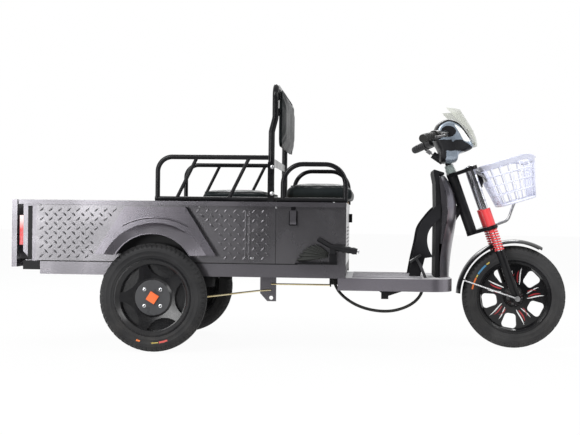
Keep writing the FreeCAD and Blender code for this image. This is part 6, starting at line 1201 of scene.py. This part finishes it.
def basket_point(u, share, grow=0.0):
    """A point of the tub's wall: u runs round it from the middle of the rear, share from floor to rim."""
    half_x, half_y = (mix(low, high, share) + grow for low, high in zip(BASKET_LOW, BASKET_HIGH))
    corner = BASKET_CORNER
    inner_x, inner_y, bend = half_x - corner, half_y - corner, math.pi * corner / 2
    runs = (inner_y, bend, 2 * inner_x, bend, 2 * inner_y, bend, 2 * inner_x, bend, inner_y)
    left = (u % 1.0) * sum(runs)
    number = 0
    while left > runs[number] and number < len(runs) - 1:
        left -= runs[number]
        number += 1
    sine, cosine = corner * math.sin(left / corner), corner * math.cos(left / corner)
    x, y = (
        (-half_x, left),
        (-inner_x - cosine, inner_y + sine),
        (-inner_x + left, half_y),
        (inner_x + sine, inner_y + cosine),
        (half_x, inner_y - left),
        (inner_x + cosine, -inner_y - sine),
        (inner_x - left, -half_y),
        (-inner_x - sine, -inner_y - cosine),
        (-half_x, -inner_y + left),
    )[number]
    front = max(0.0, min(1.0, (x - half_x * DIP_FROM) / (half_x * (1 - DIP_FROM))))
    level = BASKET_DEEP * share - BASKET_DIP * front * front * share * share
    return BASKET_FOOT + BASKET_TILT @ Vector((x, y, level))


def weave_basket():
    """Uprights, hoops, a broad rim with a rolled lip, and a gridded floor."""
    parts = []
    for index in range(UPRIGHTS):
        path = [basket_point((index + 0.5) / UPRIGHTS, share) for share in UPRIGHT_SHARES]
        parts.append(tube(path, BAR * (THICK_BAR if index % THICK_EVERY == THICK_AT else 1.0), BAR_SIDES))
    turns = [step / HOOP_STEPS for step in range(HOOP_STEPS)]
    for share in HOOP_SHARES:
        parts.append(tube([basket_point(u, share) for u in turns], BAR, BAR_SIDES, closed=True))
    for band in BANDS:
        points = [basket_point(u, share, grow) for u in turns for share, grow in band]
        parts.append((points, skin(HOOP_STEPS, len(band), closed=True)))
    for along, across, long, wide, bars, divisor in FLOOR_BARS:
        for index in range(-bars, bars + 1):
            off = index * wide / divisor
            inset = max(0.0, abs(off) - (wide - BASKET_CORNER))
            reach = long - (BASKET_CORNER - math.sqrt(max(0.0, BASKET_CORNER ** 2 - inset ** 2)))
            ends = [BASKET_FOOT + BASKET_TILT @ (along * end + across * off) for end in (-reach, reach)]
            parts.append(tube(ends, BAR, BAR_SIDES))
    piece("basket_tub", join(parts), "steering", "basket_plastic", ["basket"])


weave_basket()


# Plugs in the open tube ends
BEAM_X, BEAM_Z = (-540, -470), (312, 347)
SILL_OUT, SILL_IN, SILL_LOW = 320, 290, 295
PLUG, PLUG_SUNK = 4, 0.4
WALL_GAP = 2.2


def side_block(side, x, y, z):
    """A box on one side between two places along, out from the middle and up."""
    near, far = sorted(side * out for out in y)
    return block(place(x[0], near, z[0]), place(x[1], far, z[1]))


plugs = []
sill_y = (SILL_IN + WALL_GAP, SILL_OUT - WALL_GAP)
sill_z = (SILL_LOW + WALL_GAP, BEAM_Z[1] - WALL_GAP)
for side in SIDES:
    plugs += [
        side_block(
            side, (BEAM_X[0] + WALL_GAP, BEAM_X[1] - WALL_GAP), (SILL_OUT - PLUG, SILL_OUT - PLUG_SUNK),
            (BEAM_Z[0] + WALL_GAP, BEAM_Z[1] - WALL_GAP),
        ),
        side_block(side, (BEAM_X[1] + PLUG_SUNK, BEAM_X[1] + PLUG), sill_y, sill_z),
        side_block(side, (PLATE_FRONT_X - PLUG, PLATE_FRONT_X - PLUG_SUNK), sill_y, sill_z),
    ]
piece("tube_plugs", join(plugs), "chassis", "frame_black", smooth=False)


# Webs between the inner panel and the leg shield
WEB_REAR = ((1120, 430), (1122, 500), (1122, 560), (1120, 640), (1116, 704))
WEB_MIDDLE = ((1130, 430), (1134, 500), (1134, 560), (1128, 640), (1120, 704))
WEB_FRONT = ((1140, 430), (1150, 500), (1157, 560), (1150, 640), (1128, 704))
WEB_THICK = 2


def stand_web(name, rear, front, y, slot):
    """An upright plate on each side between two edges seen from the side."""
    loop = rear + front[::-1]
    webs = []
    for side in SIDES:
        points = [place(x, across, z) for across in sorted((side * y, side * (y - WEB_THICK))) for x, z in loop]
        webs.append((points, flipped(caps(2, len(loop)) + skin(2, len(loop)))))
    piece(name, join(webs), "chassis", slot, smooth=False)


stand_web("panel_webs", WEB_REAR, WEB_MIDDLE, 107, "black_plastic")
stand_web("shield_flanges", WEB_MIDDLE, WEB_FRONT, 109, "body_paint")


# A panel seam, a painted shadow line along the sill joint, painted shade in the recess beside the corner posts, bolts
# and rivets
STRIP_LIFT, STRIP_SUNK = 0.5, 1
STRIPS = (  # rear and front, low and high
    ((472, 474), (349, 598)),
    # A painted shadow line along the joint of side panel and sill.
    ((-484, 560), (345.5, 349.5)),
    # Painted shade in the recess between the corner post and the tread plate.
    ((-521, -503), (351, 566)),
)
HEAD_PROFILE, HEAD_SIDES = ((0.0, 1.0), (0.45, 1.0), (0.85, 0.75), (1.0, 0.35)), 12
POST_X, POST_BOLTS = 457, (624, 728)
RIVETS = ((169, 569), (377, 369), (474, 569), (700, 590), (-470, 569))
BOLT_SIZE, RIVET_SIZE = (0.0085, 0.004), (0.004, 0.0018)


def button_head(middle, out, radius, high):
    """A round bolt or rivet head standing on a face."""
    first = out.orthogonal().normalized()
    spokes = circle(first, out.cross(first), HEAD_SIDES)
    points = [middle + out * high * rise + spoke * radius * reach for rise, reach in HEAD_PROFILE for spoke in spokes]
    rows = len(HEAD_PROFILE)
    return points, skin(rows, HEAD_SIDES) + caps(rows, HEAD_SIDES)[1:]


strip_y = (SILL_OUT - STRIP_SUNK, SILL_OUT + STRIP_LIFT)
seam_and_shade_boxes = [side_block(side, x, strip_y, z) for side in SIDES for x, z in STRIPS]
piece("seam_and_shade_strips", join(seam_and_shade_boxes), "chassis", "frame_black", smooth=False)

heads = []
for side in SIDES:
    out = Y_WAY * side
    heads += [button_head(outer_face("backrest_frame", side, POST_X, z), out, *BOLT_SIZE) for z in POST_BOLTS]
    heads += [button_head(place(x, side * SILL_OUT, z), out, *RIVET_SIZE) for x, z in RIVETS]
piece("bolt_heads", join(heads), "chassis", "steel")


# Plain coloured bands on the tyre walls
BAND_LIFT, BAND_ROWS = 0.0003, 4
FRONT_MARKS = (  # finish, start and end angle, inner and outer radius
    ("mark_yellow", 126, 131, 0.1735, 0.1785), ("mark_blue", 132, 148, 0.1715, 0.1790),
    ("mark_yellow", 149, 153, 0.1725, 0.1775), ("mark_orange", 154, 170, 0.1715, 0.1785),
)
REAR_MARKS = (
    ("mark_orange", -110, -105, 0.1710, 0.1780), ("mark_yellow", -90, -81, 0.1735, 0.1765),
    ("mark_red", -80, -69, 0.1715, 0.1785),
)
MARKED = {"front": (FRONT_MARKS, SIDES), "right": (REAR_MARKS, (RIGHT,)), "left": (REAR_MARKS, (LEFT,))}


def mark(centre, side, start, end, inner, outer):
    """A thin band that follows a tyre's wall between two angles and two radii."""
    steps = 2 * (end - start)
    radii = [mix(inner, outer, share) for share in shares(BAND_ROWS)]
    points = []
    for share in shares(steps):
        angle = math.radians(mix(start, end, share))
        points.extend(polar(centre, r, angle, side * (between(WALL, r) + BAND_LIFT)) for r in radii)
    return points, mirrored(flipped(skin(steps + 1, len(radii), ring=False)), side)


for paint in ("mark_orange", "mark_yellow", "mark_blue", "mark_red"):
    for wheel, (marks, sides) in MARKED.items():
        centre, body = WHEELS[wheel][:2]
        parts = [mark(centre, side, *row[1:]) for side in sides for row in marks if row[0] == paint]
        if parts:
            piece(wheel + "_band_" + paint, join(parts), body, "tyre", finish=paint)


# Painted shade in the wheel wells
WELL_MIDDLE_Z, WELL_RADIUS, WELL_FOOT_Z = 282, 214, 380
WELL_LIFT, WELL_STEPS = 0.9, 40


def well(side):
    """Painted shade in the opening behind a rear wheel: a dark flat face with a round top."""
    first = math.asin((WELL_FOOT_Z - WELL_MIDDLE_Z) / WELL_RADIUS)
    angles = [mix(first, math.pi - first, share) for share in shares(WELL_STEPS)]
    y = side * (SILL_OUT + WELL_LIFT)
    points = [place(WELL_RADIUS * math.cos(a), y, WELL_MIDDLE_Z + WELL_RADIUS * math.sin(a)) for a in angles]
    return points, mirrored([tuple(reversed(range(len(points))))], side)


piece("wheel_well_shade", join([well(RIGHT), well(LEFT)]), "chassis", "frame_black", smooth=False)


# Size of the dressed part
low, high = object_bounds()
